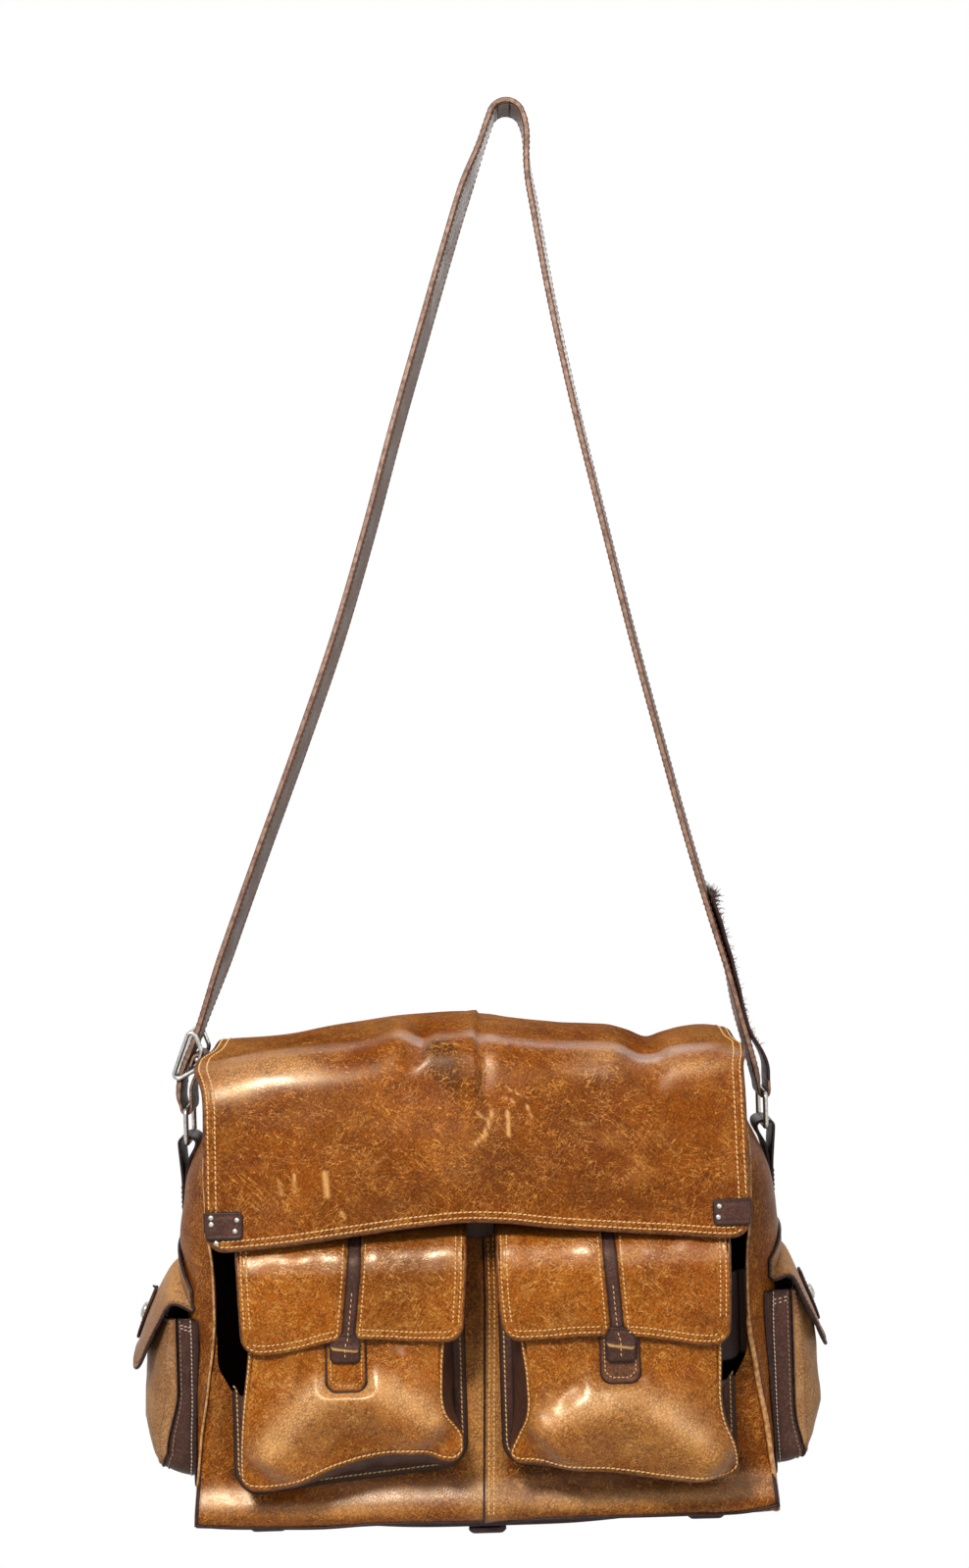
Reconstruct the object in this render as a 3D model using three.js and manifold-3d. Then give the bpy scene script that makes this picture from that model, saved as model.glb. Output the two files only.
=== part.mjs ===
// A leather satchel hanging by its shoulder strap.
// Millimetres, +X to the viewer's right, -Y to the viewer, +Z up.
// The origin is the seat of the strap on what holds it up. The bag is built in a group of its own,
// whose origin is the middle of the bag's underside, in the plane of the strap.

import * as THREE from "three";
import { mergeVertices } from "three/addons/utils/BufferGeometryUtils.js";
import Module from "manifold-3d";

const wasm = await Module();
wasm.setup();

// Clearances and leather weights
const gap = 0.3;
const panelLeather = 2.5;
const flapLeather = 3;
const trimLeather = 2.2;
const patchLeather = 2;
const mergeTolerance = 0.0001;

// The body
const bodyWidth = 400;
const bodyHeight = 316;
const bodyDepth = 120;
const mouthDepth = 100;
const foldHeight = 200;
const halfWidth = bodyWidth / 2;
const frontShares = [[0, 1], [0.16, 0.975], [0.32, 0.94], [0.4, 0.93], [0.52, 0.985], [0.62, 1.015],
  [0.7, 1.02], [0.79, 0.98], [0.9, 0.92], [1, 0.89]];
const crownShares = [[0, 1], [0.16, 1.005], [0.4, 1.005], [0.56, 1.022], [0.65, 1.03], [0.69, 1.027],
  [0.75, 0.995], [0.81, 0.945], [0.9, 0.9], [1, 0.88]];

const bodyLevelShares = [0, 0.08, 0.16, 0.24, 0.32, 0.4, 0.48, 0.56, 0.63, 0.7, 0.77, 0.84, 0.92, 1];
const gussetRowShares = [-1, -0.85, -0.6, -0.3, 0, 0.3, 0.6, 0.85, 1];
const gussetFlatness = 4;

// The bottom, its runners and what lies on it
const footWidth = 24;
const footHeight = 5;
const footSpacing = 150;
const footEndMargin = 10;
const boardThickness = 2.5;
const boardMargin = 8;
const liningThickness = 1;
const liningDrop = 8;
const liningEase = 2;
const liningRowShares = [-1, -0.6, 0, 0.6, 1];

// The main flap
const flapSideInset = 19;
const flapHalfWidth = halfWidth - flapSideInset;
const flapRise = 25;
const flapTopHeight = bodyHeight + flapRise;
const flapDroop = 13;
const flapRidge = 7;
const flapHingeY = 52;
const flapReach = 55;
const flapEdgeHeight = 210;
const flapEdgeDroop = 13;
const flapCorner = 13;
const flapShoulder = 17;
const flapTopPower = 2.5;
const flapEdgePower = 1.6;
const flapShoulderShare = 0.22;
const flapReachPower = 0.9;
const flapDropPower = 1.35;
const flapRowShares = [0, 0.05, 0.11, 0.2, 0.35, 0.5, 0.65, 0.8, 0.92, 1];
const guardWidth = 24;
const guardHeight = 17;
const studRadius = 7;
const studHeight = 2;
const studRise = 16;

// The snap patch of the front panel
const snapPatchWidth = 20;
const snapPatchHeight = 34;
const snapPatchCorner = 4;
const snapPatchRise = 212;

// The front pockets
const pocketInner = 13;
const pocketOuter = 170;
const pocketInnerFloor = 42;
const pocketOuterFloor = 31;
const pocketTop = 166;
const pocketCorner = 12;
const pocketDepth = 34;
const pocketFlange = 2;
const pocketBulge = 11;
const bulgeTop = 102;
const pocketMiddleShare = 0.45;
const pocketRowShares = [0, 0.14, 0.3, 0.48, 0.66, 0.84, 1];
const keeperWidth = 25;
const keeperBottom = 103;
const keeperTop = 139;
const keeperCorner = 6;
const keeperCentre = 91;
const plateRadius = 6;
const plateThickness = 1.4;
const plateHeight = 122;

// The pocket flaps
const pocketFlapInner = 10;
const pocketFlapOuter = 167;
const pocketHingeHeight = 187;
const pocketHingeReach = 101;
const pocketFlapInnerEdge = 137;
const pocketFlapOuterEdge = 130;
const pocketFlapCorner = 11;
const pocketFlapPuff = 3;
const rootTop = 206;
const rootSide = 6;
const rootMiddleShare = 0.35;
const rootOverShare = 0.75;
const rootOverRiseShare = 0.45;
const rootMiddleDropShare = 1.5;
const rootTurnShare = 0.2;
const tongueWidth = 8;
const tongueLean = 5;
const tongueDrop = 4;
const tabWidth = 20;
const tabRise = 1;
const tabBottom = 116;
const tabCorner = 3;

// The side pockets
const sideHalfDepth = 40;
const sideFloor = 22;
const sideTop = 146;
const sideCorner = 12;
const sideRimStand = 12.6;
const sideCrown = 22;
const sideCrownGain = 1.15;
const sideCrownShares = [0.06, 0.8];
const sideFootGain = 6;
const sideTopShare = 0.5;
const sideLevelShares = [0, 0.12, 0.26, 0.42, 0.58, 0.74, 0.87, 0.95, 1];
const sideSnapHeight = 122;
const sideSocketRadius = 5;
const sideSocketHeight = 1.5;

// The side pocket flaps
const sideFlapHalfDepth = 43;
const sideHingeHeight = 175;
const sideFlapReach = 38;
const sideFlapDrop = 71;
const sideFlapArch = 19;
const sideFlapTipArch = 6;
const sideFlapCorner = 14;
const sideFlapNearShare = 0.35;
const sideFlapFarShare = 0.7;
const sideFlapFarDropShare = 0.42;
const sideFlapRowShares = [0, 0.1, 0.22, 0.36, 0.52, 0.68, 0.84, 1];
const sidePatchWidth = 22;
const sidePatchStartShare = 0.56;
const sidePatchEndShare = 0.93;
const sidePatchStepShare = 0.01;
const capRadius = 6;
const capHeight = 2.4;
const capProfileShares = [[1, 0.35], [0.75, 0.8]];

// The strap, its rings, tabs and slide
const strapWidth = 38;
const strapThickness = 4;
const strapEndLeather = 2.2;
const loopEase = 0.18;
const ringStand = 14.3;
const ringDrop = 35;
const ringPitch = 24;
const ringWire = 3.6;
const ringInnerWidth = 41;
const ringCorner = 4;
const tabLoopRadius = 6.9;
const tabSlack = 0.8;
const tabStrapWidth = 35;
const tabSeatDrop = 48;
const tabTailLength = 19;
const tabTangentShare = 0.06;
const foldEndLength = 140;
const foldEndJoin = 36;
const turnRise = 8;
const slideRise = 37;
const slideLength = 36;
const slidePlate = 3;
const slideRim = 0.8;
const slideEase = 0.5;
const slideWire = 3.4;
const slideSlope = 0.383;
const slideRun = 110;
const hookRadius = 10;
const hookX = 42;
const hookHeight = 981;
const hookTurnShares = [0.93, 0.07];
const ringTurnCount = 6;

// How the strap's legs bow off a straight line: places along it, and offsets as shares of legBow
const legBow = 10;
const leftLegShares = [[0.084, -0.19], [0.225, -0.55], [0.358, -0.75], [0.49, -0.58], [0.613, -0.25],
  [0.733, -0.04], [0.833, 0.11], [0.917, 0.16], [0.96, 0.05]];
const rightLegShares = [[0.037, -0.06], [0.072, 0.03], [0.127, 0.03], [0.175, 0.24], [0.245, 0.52],
  [0.358, 0.8], [0.474, 1.02], [0.593, 1.1], [0.715, 1.13], [0.818, 0.98], [0.897, 0.68], [0.951, 0.44]];

// Materials
const colours = {
  tan: 0xa5692f,
  dark: 0x4b3430,
  strap: 0x694b3c,
  black: 0x2a2020,
  nickel: 0xb8b6b0,
  fabric: 0x5a4a38,
  board: 0x3a3430,
};
const metals = new Set(["nickel"]);

const bag = new THREE.Group();
bag.position.set(-hookX, 0, -hookHeight);
const satchel = new THREE.Group();
satchel.add(bag);

function addPiece(name, slot, geometry) {
  const isMetal = metals.has(slot);
  const material = new THREE.MeshStandardMaterial({
    color: colours[slot],
    roughness: isMetal ? 0.3 : 0.55,
    metalness: isMetal ? 1 : 0,
  });
  const mesh = new THREE.Mesh(geometry, material);
  mesh.name = name;
  bag.add(mesh);
  return mesh;
}

// Helpers that turn point grids into closed solids

function solidFromTriangles(points, triangles) {
  let volume = 0;
  for (const [a, b, c] of triangles) {
    const [p, q, r] = [points[a], points[b], points[c]];
    volume += p[0] * (q[1] * r[2] - q[2] * r[1]);
    volume += p[1] * (q[2] * r[0] - q[0] * r[2]);
    volume += p[2] * (q[0] * r[1] - q[1] * r[0]);
  }
  const order = volume < 0 ? triangles.map(([a, b, c]) => [a, c, b]) : triangles;
  const geometry = new THREE.BufferGeometry();
  geometry.setAttribute("position", new THREE.Float32BufferAttribute(points.flat(), 3));
  geometry.setIndex(order.flat());
  return geometry;
}

// Two grids of the same size, one for each face of a sheet, closed round their rim.
function sheetSolid(outer, inner) {
  const rows = outer.length;
  const columns = outer[0].length;
  const points = [...outer.flat(), ...inner.flat()];
  const other = rows * columns;
  const at = (i, j) => i * columns + j;
  const triangles = [];
  const quad = (a, b, c, d) => triangles.push([a, b, c], [a, c, d]);
  for (let i = 0; i + 1 < rows; i++) {
    for (let j = 0; j + 1 < columns; j++) {
      quad(at(i, j), at(i + 1, j), at(i + 1, j + 1), at(i, j + 1));
      quad(other + at(i, j), other + at(i, j + 1), other + at(i + 1, j + 1), other + at(i + 1, j));
    }
  }
  const rim = [];
  for (let j = 0; j + 1 < columns; j++) rim.push(at(0, j));
  for (let i = 0; i + 1 < rows; i++) rim.push(at(i, columns - 1));
  for (let j = columns - 1; j > 0; j--) rim.push(at(rows - 1, j));
  for (let i = rows - 1; i > 0; i--) rim.push(at(i, 0));
  rim.forEach((a, k) => {
    const b = rim[(k + 1) % rim.length];
    quad(a, b, other + b, other + a);
  });
  return solidFromTriangles(points, triangles);
}

function gridNormals(grid) {
  const rows = grid.length;
  const columns = grid[0].length;
  const vector = (p) => new THREE.Vector3(...p);
  return grid.map((row, i) => row.map((point, j) => {
    const along = vector(grid[Math.min(i + 1, rows - 1)][j]).sub(vector(grid[Math.max(i - 1, 0)][j]));
    const across = vector(row[Math.min(j + 1, columns - 1)]).sub(vector(row[Math.max(j - 1, 0)]));
    return along.cross(across).normalize();
  }));
}

// A sheet between two offsets of one surface. The way tells which side of the surface is outside.
function leatherSheet(surface, fromOffset, toOffset, way) {
  const normals = gridNormals(surface);
  const shifted = (offset) => surface.map((row, i) => row.map((point, j) => {
    const normal = normals[i][j];
    return [point[0] + way * offset * normal.x, point[1] + way * offset * normal.y,
      point[2] + way * offset * normal.z];
  }));
  return sheetSolid(shifted(fromOffset), shifted(toOffset));
}

const mirrored = (points, side) => points.map(([x, y, z]) => [side * x, y, z]);

// Reads a table of shares, along a straight line from each row to the next
function readShares(shares, at) {
  const last = shares.length - 1;
  if (at <= shares[0][0]) return shares[0][1];
  for (let k = 0; k < last; k++) {
    const [a, from] = shares[k];
    const [b, to] = shares[k + 1];
    if (at <= b) return THREE.MathUtils.lerp(from, to, (at - a) / (b - a));
  }
  return shares[last][1];
}

const lerp = THREE.MathUtils.lerp;

function steps(from, to, count) {
  return Array.from({ length: count + 1 }, (_, k) => lerp(from, to, k / count));
}

// Places across a sheet whose two lower corners are rounded, closer together in the corners
function roundedColumns(from, to, corner, middleCount, cornerCount = 3) {
  const places = [];
  for (let k = 0; k < cornerCount; k++) {
    places.push(from + corner * (1 - Math.cos((Math.PI / 2) * (k / cornerCount))));
  }
  places.push(...steps(from + corner, to - corner, middleCount));
  for (let k = cornerCount - 1; k >= 0; k--) {
    places.push(to - corner * (1 - Math.cos((Math.PI / 2) * (k / cornerCount))));
  }
  return places;
}

function cornerRise(place, from, to, corner) {
  const margin = Math.min(place - from, to - place);
  if (margin >= corner) return 0;
  const inside = corner - Math.max(margin, 0);
  return corner - Math.sqrt(corner * corner - inside * inside);
}

// The outer surfaces of the body
const frontEdge = (z) => halfWidth * readShares(frontShares, z / bodyHeight);
const gussetCrown = (z) => halfWidth * readShares(crownShares, z / bodyHeight);

function faceY(z) {
  const over = THREE.MathUtils.smoothstep(z, foldHeight, bodyHeight);
  return lerp(bodyDepth / 2, mouthDepth / 2, over);
}

const gussetHalfDepth = (z) => faceY(z) - panelLeather - gap;

function gussetX(y, z) {
  const share = Math.min(Math.abs(y) / gussetHalfDepth(z), 1);
  return lerp(gussetCrown(z), frontEdge(z), share ** gussetFlatness);
}

const rimHeight = (x) => bodyHeight - flapDroop * Math.abs(x / flapHalfWidth) ** 2;

function bodyLevels(top, base = 0) {
  return bodyLevelShares.map((share) => lerp(base, top, share));
}

// Body panels

function facePanel(fromShare, toShare, count, side, seam, topAt) {
  const surface = bodyLevels(1).map((share) => steps(fromShare, toShare, count).map((across) => {
    const z = share * topAt(across * frontEdge(bodyHeight));
    const x = across === 0 ? seam : across * frontEdge(z);
    return [x, side * faceY(z), z];
  }));
  const inner = surface.map((row) => row.map(([x, y, z]) => [x, y - side * panelLeather, z]));
  return sheetSolid(surface, inner);
}

addPiece("front_panel_left", "tan", facePanel(-1, 0, 6, -1, -gap / 2, rimHeight));
addPiece("front_panel_right", "tan", facePanel(0, 1, 6, -1, gap / 2, rimHeight));

const bodySides = [["left", -1], ["right", 1]];

function bodyGusset(side) {
  const top = rimHeight(frontEdge(bodyHeight));
  const surface = bodyLevels(top).map((z) => gussetRowShares.map((share) => {
    const y = share * gussetHalfDepth(z);
    return [side * gussetX(y, z), y, z];
  }));
  const inner = surface.map((row) => row.map(([x, y, z]) => [x - side * panelLeather, y, z]));
  return sheetSolid(surface, inner);
}

for (const [name, side] of bodySides) addPiece(`gusset_${name}`, "tan", bodyGusset(side));

function block(width, depth, height, x, y, z) {
  const geometry = new THREE.BoxGeometry(width, depth, height);
  geometry.translate(x, y, z + height / 2);
  return geometry;
}

const insideHalfDepth = bodyDepth / 2 - panelLeather - gap;
const insideHalfWidth = halfWidth - panelLeather - gap;
const boardBase = panelLeather + gap;
addPiece("bottom_panel", "black", block(2 * insideHalfWidth - 2 * panelLeather, 2 * insideHalfDepth,
  panelLeather, 0, 0, 0));
addPiece("base_board", "board", block(2 * (insideHalfWidth - boardMargin),
  2 * (insideHalfDepth - boardMargin / 2), boardThickness, 0, 0, boardBase));
for (const [name, place] of [["left", -1], ["centre", 0], ["right", 1]]) {
  addPiece(`foot_${name}`, "black", block(footWidth, 2 * (insideHalfDepth - footEndMargin), footHeight,
    place * footSpacing, 0, -gap - footHeight));
}

// The lining, an open sack that follows the walls
function liningRing(z, inset) {
  const depth = gussetHalfDepth(z);
  const right = liningRowShares.map((share) => {
    const x = Math.min(gussetX(share * depth, z), gussetCrown(z));
    return [x - panelLeather - liningEase - inset, share * (depth - inset), z];
  });
  return [...right, ...right.map(([x, y]) => [-x, -y, z])];
}

function openSack(outerRings, innerRings) {
  const size = outerRings[0].length;
  const points = [...outerRings.flat(), ...innerRings.flat()];
  const triangles = [];
  const quad = (a, b, c, d) => triangles.push([a, b, c], [a, c, d]);
  const other = outerRings.length * size;
  for (let k = 0; k < size; k++) {
    const next = (k + 1) % size;
    for (let i = 0; i + 1 < outerRings.length; i++) {
      const [a, b] = [i * size, (i + 1) * size];
      quad(a + k, a + next, b + next, b + k);
      quad(other + a + k, other + b + k, other + b + next, other + a + next);
    }
    const top = (outerRings.length - 1) * size;
    quad(top + k, top + next, other + top + next, other + top + k);
  }
  for (let k = 1; k + 1 < size; k++) {
    triangles.push([0, k + 1, k]);
    triangles.push([other, other + k, other + k + 1]);
  }
  return solidFromTriangles(points, triangles);
}

function liningSack() {
  const floor = boardBase + boardThickness + gap;
  const top = rimHeight(frontEdge(bodyHeight)) - liningDrop;
  const levels = bodyLevels(top, floor);
  const outer = levels.map((z) => liningRing(z, gap));
  const inner = levels.map((z, k) => liningRing(k === 0 ? z + liningThickness : z, gap + liningThickness));
  return openSack(outer, inner);
}

addPiece("lining", "fabric", liningSack());

// The main flap

const halfFlap = flapLeather / 2;
const flapSeam = halfFlap * Math.SQRT2 - halfFlap + gap;

function flapTopZ(x, y) {
  const across = Math.abs(x / flapHalfWidth);
  const along = y / flapHingeY;
  return flapTopHeight - flapDroop * across ** flapTopPower - flapRidge * along ** 2;
}

// The back panel reaches up to the flap's rear edge, which is sewn to it
addPiece("back_panel", "tan", facePanel(-1, 1, 10, 1, 0,
  (x) => flapTopZ(x, flapHingeY) - flapLeather - 2 * gap));

function flapTop() {
  const places = steps(-1, 1, 14).map((share) => share * flapHalfWidth);
  const depths = steps(flapHingeY, -flapHingeY + halfFlap + flapSeam, 7);
  const surface = depths.map((y) => places.map((x) => [x, y, flapTopZ(x, y)]));
  return leatherSheet(surface, 0, -flapLeather, 1);
}

addPiece("flap_top", "tan", flapTop());

function flapLowerEdge(x) {
  const across = Math.abs(x / flapHalfWidth);
  return flapEdgeHeight - flapEdgeDroop * across ** flapEdgePower
    + cornerRise(x, -flapHalfWidth, flapHalfWidth, flapCorner);
}

// The drop of the flap, from its shoulder over the top edge down to the lower edge
function flapFrontPoint(x, along) {
  const top = flapTopZ(x, -flapHingeY);
  const low = flapLowerEdge(x);
  const shoulder = Math.min(along / flapShoulderShare, 1);
  const y = -flapHingeY + halfFlap - lerp(0, flapShoulder, Math.sin(shoulder * Math.PI / 2))
    - (flapReach - flapShoulder) * along ** flapReachPower;
  const drop = lerp(along ** flapDropPower, along, along);
  return [x, y, lerp(top, low, drop)];
}

function flapSurface(places, rows) {
  return rows.map((along) => places.map((x) => flapFrontPoint(x, along)));
}

const flapPlaces = roundedColumns(-flapHalfWidth, flapHalfWidth, flapCorner, 12);
addPiece("flap_front", "tan", leatherSheet(flapSurface(flapPlaces, flapRowShares), 0, -flapLeather, 1));

// A point of the drop at a chosen height, for what is sewn on it
function flapPointAt(x, z) {
  let [near, far] = [0, 1];
  for (let k = 0; k < 30; k++) {
    const middle = (near + far) / 2;
    if (flapFrontPoint(x, middle)[2] > z) near = middle;
    else far = middle;
  }
  return flapFrontPoint(x, (near + far) / 2);
}

function cornerGuard(side) {
  const outer = side * flapHalfWidth;
  const places = roundedColumns(flapHalfWidth - guardWidth, flapHalfWidth, flapCorner, 2)
    .filter((x) => x > flapHalfWidth - guardWidth + flapCorner || x === flapHalfWidth - guardWidth);
  const surface = steps(1, 0, 3).map((share) => places.map((x) => {
    const low = flapLowerEdge(x);
    const high = flapEdgeHeight - flapEdgeDroop + guardHeight;
    return flapPointAt(Math.sign(outer) * x, lerp(low, high, share));
  }));
  return leatherSheet(surface, gap, gap + patchLeather, side);
}

for (const [name, side] of bodySides) addPiece(`corner_guard_${name}`, "dark", cornerGuard(side));

// A low disc with its flat back on a plane, its axis along -Y before it is turned
function disc(radius, height, point, normal, sides = 16) {
  const geometry = new THREE.CylinderGeometry(radius, radius, height, sides);
  const turn = new THREE.Quaternion().setFromUnitVectors(new THREE.Vector3(0, 1, 0), normal);
  geometry.translate(0, height / 2, 0);
  geometry.applyQuaternion(turn);
  geometry.translate(...point);
  return geometry;
}

function domedDisc(radius, height, point, normal, sides = 16) {
  const crown = capProfileShares.map(([across, up]) => [radius * across, height * up]);
  const profile = [[0, 0], [radius, 0], ...crown, [0, height]];
  const geometry = new THREE.LatheGeometry(profile.map(([x, y]) => new THREE.Vector2(x, y)), sides);
  const turn = new THREE.Quaternion().setFromUnitVectors(new THREE.Vector3(0, 1, 0), normal);
  geometry.applyQuaternion(turn);
  geometry.translate(...point);
  return geometry;
}

function surfaceFrame(pointAt, u, v, delta) {
  const middle = new THREE.Vector3(...pointAt(u, v));
  const along = new THREE.Vector3(...pointAt(u + delta, v)).sub(middle);
  const across = new THREE.Vector3(...pointAt(u, v + delta)).sub(middle);
  return [middle, along.cross(across).normalize()];
}

function mainStud() {
  const height = flapEdgeHeight + studRise;
  const [middle, normal] = surfaceFrame(flapPointAt, 0, height, studRadius);
  const inward = normal.y > 0 ? normal : normal.negate();
  const seat = middle.addScaledVector(inward, flapLeather + gap * 2);
  return disc(studRadius, studHeight, seat.toArray(), inward);
}

addPiece("main_snap_stud", "nickel", mainStud());

// The snap patch and its socket on the front panel

const patchTop = snapPatchRise + snapPatchHeight / 2;

function snapPatch() {
  const half = snapPatchWidth / 2;
  const places = roundedColumns(-half, half, snapPatchCorner, 1, 2);
  const surface = steps(0, 1, 4).map((share) => places.map((x) => {
    const low = patchTop - snapPatchHeight + cornerRise(x, -half, half, snapPatchCorner);
    const z = lerp(patchTop, low, share);
    return [x, -faceY(z) - gap, z];
  }));
  const outer = surface.map((row) => row.map(([x, y, z]) => [x, y - patchLeather, z]));
  return sheetSolid(outer, surface);
}

addPiece("snap_patch", "dark", snapPatch());
const outward = new THREE.Vector3(0, -1, 0);
addPiece("main_snap_socket", "nickel", disc(studRadius, studHeight,
  [0, -bodyDepth / 2 - 2 * gap - patchLeather, snapPatchRise], outward));

// Pocket walls: a U of leather that follows a path in the plane of the body's wall

function pocketPath(left, right, leftFloor, rightFloor, top, corner) {
  const slope = Math.atan2(rightFloor - leftFloor, right - left);
  const path = [[left, top], [left, lerp(leftFloor, top, pocketMiddleShare)]];
  const arc = (centreX, centreZ, fromAngle, toAngle) => {
    for (const angle of steps(fromAngle, toAngle, 4)) {
      path.push([centreX + corner * Math.cos(angle), centreZ + corner * Math.sin(angle)]);
    }
  };
  arc(left + corner, leftFloor + corner, Math.PI, Math.PI * 1.5 + slope);
  path.push([(left + right) / 2, (leftFloor + rightFloor) / 2]);
  arc(right - corner, rightFloor + corner, Math.PI * 1.5 + slope, Math.PI * 2);
  path.push([right, lerp(rightFloor, top, pocketMiddleShare)], [right, top]);
  return path;
}

function insetPath(path, inset) {
  return path.map(([p, q], k) => {
    const before = path[Math.max(k - 1, 0)];
    const after = path[Math.min(k + 1, path.length - 1)];
    const [dp, dq] = [after[0] - before[0], after[1] - before[1]];
    const length = Math.hypot(dp, dq);
    return [p - inset * (dq / length), q + inset * (dp / length)];
  });
}

function wallAlong(path, thickness, nearAt, farAt, place) {
  const inside = insetPath(path, thickness);
  const rows = (points) => points.map(([p, q]) => [place(p, q, nearAt(p, q)), place(p, q, farAt(p, q))]);
  return sheetSolid(rows(path), rows(inside));
}

const panelFace = bodyDepth / 2 + pocketDepth;
const pocketPanelFace = panelFace + gap + panelLeather;

function pocketGusset(side) {
  const path = pocketPath(pocketInner, pocketOuter, pocketInnerFloor, pocketOuterFloor, pocketTop,
    pocketCorner);
  return wallAlong(path, trimLeather, () => bodyDepth / 2 + gap, () => panelFace,
    (x, z, depth) => [side * x, -depth, z]);
}

function pocketFloorAt(x, grow) {
  const share = (x - pocketInner) / (pocketOuter - pocketInner);
  return lerp(pocketInnerFloor, pocketOuterFloor, share) - grow
    + cornerRise(x, pocketInner - grow, pocketOuter + grow, pocketCorner + grow);
}

function pocketFaceY(x, z) {
  const place = THREE.MathUtils.clamp((x - pocketInner) / (pocketOuter - pocketInner), 0, 1);
  const across = Math.sin(Math.PI * place);
  const floor = pocketFloorAt((pocketInner + pocketOuter) / 2, 0);
  const up = THREE.MathUtils.clamp((z - floor) / (bulgeTop - floor), 0, 1);
  return -(pocketPanelFace + pocketBulge * across * Math.sin(Math.PI * up) ** 2);
}

function pocketPanel(side) {
  const places = roundedColumns(pocketInner - pocketFlange, pocketOuter + pocketFlange,
    pocketCorner + pocketFlange, 8);
  const pointAt = (x, z) => [side * x, pocketFaceY(x, z), z];
  const lowerRow = (share) => places.map((x) => (
    pointAt(x, lerp(bulgeTop, pocketFloorAt(x, pocketFlange), share))));
  const surface = [places.map((x) => pointAt(x, pocketTop)), ...pocketRowShares.map(lowerRow)];
  const inner = surface.map((row) => row.map(([x, y, z]) => [x, y + panelLeather, z]));
  return sheetSolid(surface, inner);
}

function flatPatch(centre, width, top, bottom, corner, nearY, thickness) {
  const [from, to] = [centre - width / 2, centre + width / 2];
  const places = roundedColumns(from, to, corner, 2);
  const face = [0, 1].map((share) => places.map((x) => {
    const low = bottom + cornerRise(x, from, to, corner);
    return [x, nearY, lerp(top, low, share)];
  }));
  return sheetSolid(face.map((row) => row.map(([x, y, z]) => [x, y - thickness, z])), face);
}

function keeperPatch(side) {
  return flatPatch(side * keeperCentre, keeperWidth, keeperTop, keeperBottom, keeperCorner,
    -pocketPanelFace - gap, patchLeather);
}

const keeperFace = pocketPanelFace + gap + patchLeather;

function snapPlate(side) {
  return disc(plateRadius, plateThickness,
    [side * keeperCentre, -pocketPanelFace + panelLeather + gap, plateHeight], outward.clone().negate());
}

// The fixed root of the pocket flap, from the front panel over the pocket's mouth to the hinge

const pocketFlapInset = flapLeather / 2;
const rootEndY = -pocketHingeReach;
const pocketHingeSeam = pocketFlapInset * Math.SQRT2 + gap;

function flapRoot(side) {
  const [from, to] = [pocketFlapInner + rootSide, pocketFlapOuter - rootSide];
  const startY = -bodyDepth / 2 - gap;
  const profile = [[startY, rootTop],
    [lerp(startY, rootEndY, rootMiddleShare), rootTop - rootMiddleDropShare * flapLeather],
    [lerp(startY, rootEndY, rootOverShare), lerp(rootTop, pocketHingeHeight, rootOverRiseShare)],
    [rootEndY - pocketFlapInset * rootTurnShare, pocketHingeHeight + pocketHingeSeam + flapLeather],
    [rootEndY - pocketFlapInset, pocketHingeHeight + pocketHingeSeam]];
  const surface = profile.map(([y, z]) => steps(from, to, 3).map((x) => [side * x, y, z]));
  const inner = surface.map((row, k) => row.map(([x, y, z]) => {
    const isDown = k >= profile.length - 2;
    return isDown ? [x, y + flapLeather, z] : [x, y, z - flapLeather];
  }));
  return sheetSolid(surface, inner);
}

// The moving pocket flap

function pocketFlapEdgeAt(x) {
  const share = (x - pocketFlapInner) / (pocketFlapOuter - pocketFlapInner);
  return lerp(pocketFlapInnerEdge, pocketFlapOuterEdge, share)
    + cornerRise(x, pocketFlapInner, pocketFlapOuter, pocketFlapCorner);
}

const pocketFlapBack = keeperFace + gap;
const pocketFlapStart = pocketHingeHeight + pocketFlapInset;

function pocketFlapY(z) {
  const along = (pocketFlapStart - z) / (pocketFlapStart - pocketFlapInnerEdge);
  const share = THREE.MathUtils.clamp(along, 0, 1);
  const hinge = pocketHingeReach + pocketFlapInset;
  return -lerp(hinge, pocketFlapBack + flapLeather, share) - pocketFlapPuff * Math.sin(Math.PI * share);
}

function pocketFlap(side) {
  const places = roundedColumns(pocketFlapInner, pocketFlapOuter, pocketFlapCorner, 6);
  const surface = steps(0, 1, 6).map((share) => places.map((x) => {
    const z = lerp(pocketFlapStart, pocketFlapEdgeAt(x), share);
    return [side * x, pocketFlapY(z), z];
  }));
  const inner = surface.map((row) => row.map(([x, y, z]) => [x, y + flapLeather, z]));
  return sheetSolid(surface, inner);
}

// The tongue runs down the flap, leaning, and ends in a wider tab over the keeper
function flapTongue(side) {
  const start = pocketHingeHeight - tongueDrop;
  const edge = pocketFlapEdgeAt(keeperCentre);
  const tabTop = edge - tabRise;
  const heights = [...steps(start, tabTop, 5), tabTop - tabCorner / 2, tabBottom + tabCorner, tabBottom];
  const halves = heights.map((z) => {
    if (z >= tabTop) return tongueWidth / 2;
    return z > tabBottom ? tabWidth / 2 : tabWidth / 2 - tabCorner;
  });
  const centreAt = (z) => keeperCentre - tongueLean * Math.max((z - tabTop) / (start - tabTop), 0);
  const surface = heights.map((z, k) => [-1, 1].map((share) => [
    side * (centreAt(z) + share * halves[k]), pocketFlapY(z) - gap - trimLeather, z]));
  const inner = surface.map((row) => row.map(([x, y, z]) => [x, y + trimLeather, z]));
  return sheetSolid(surface, inner);
}

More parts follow.
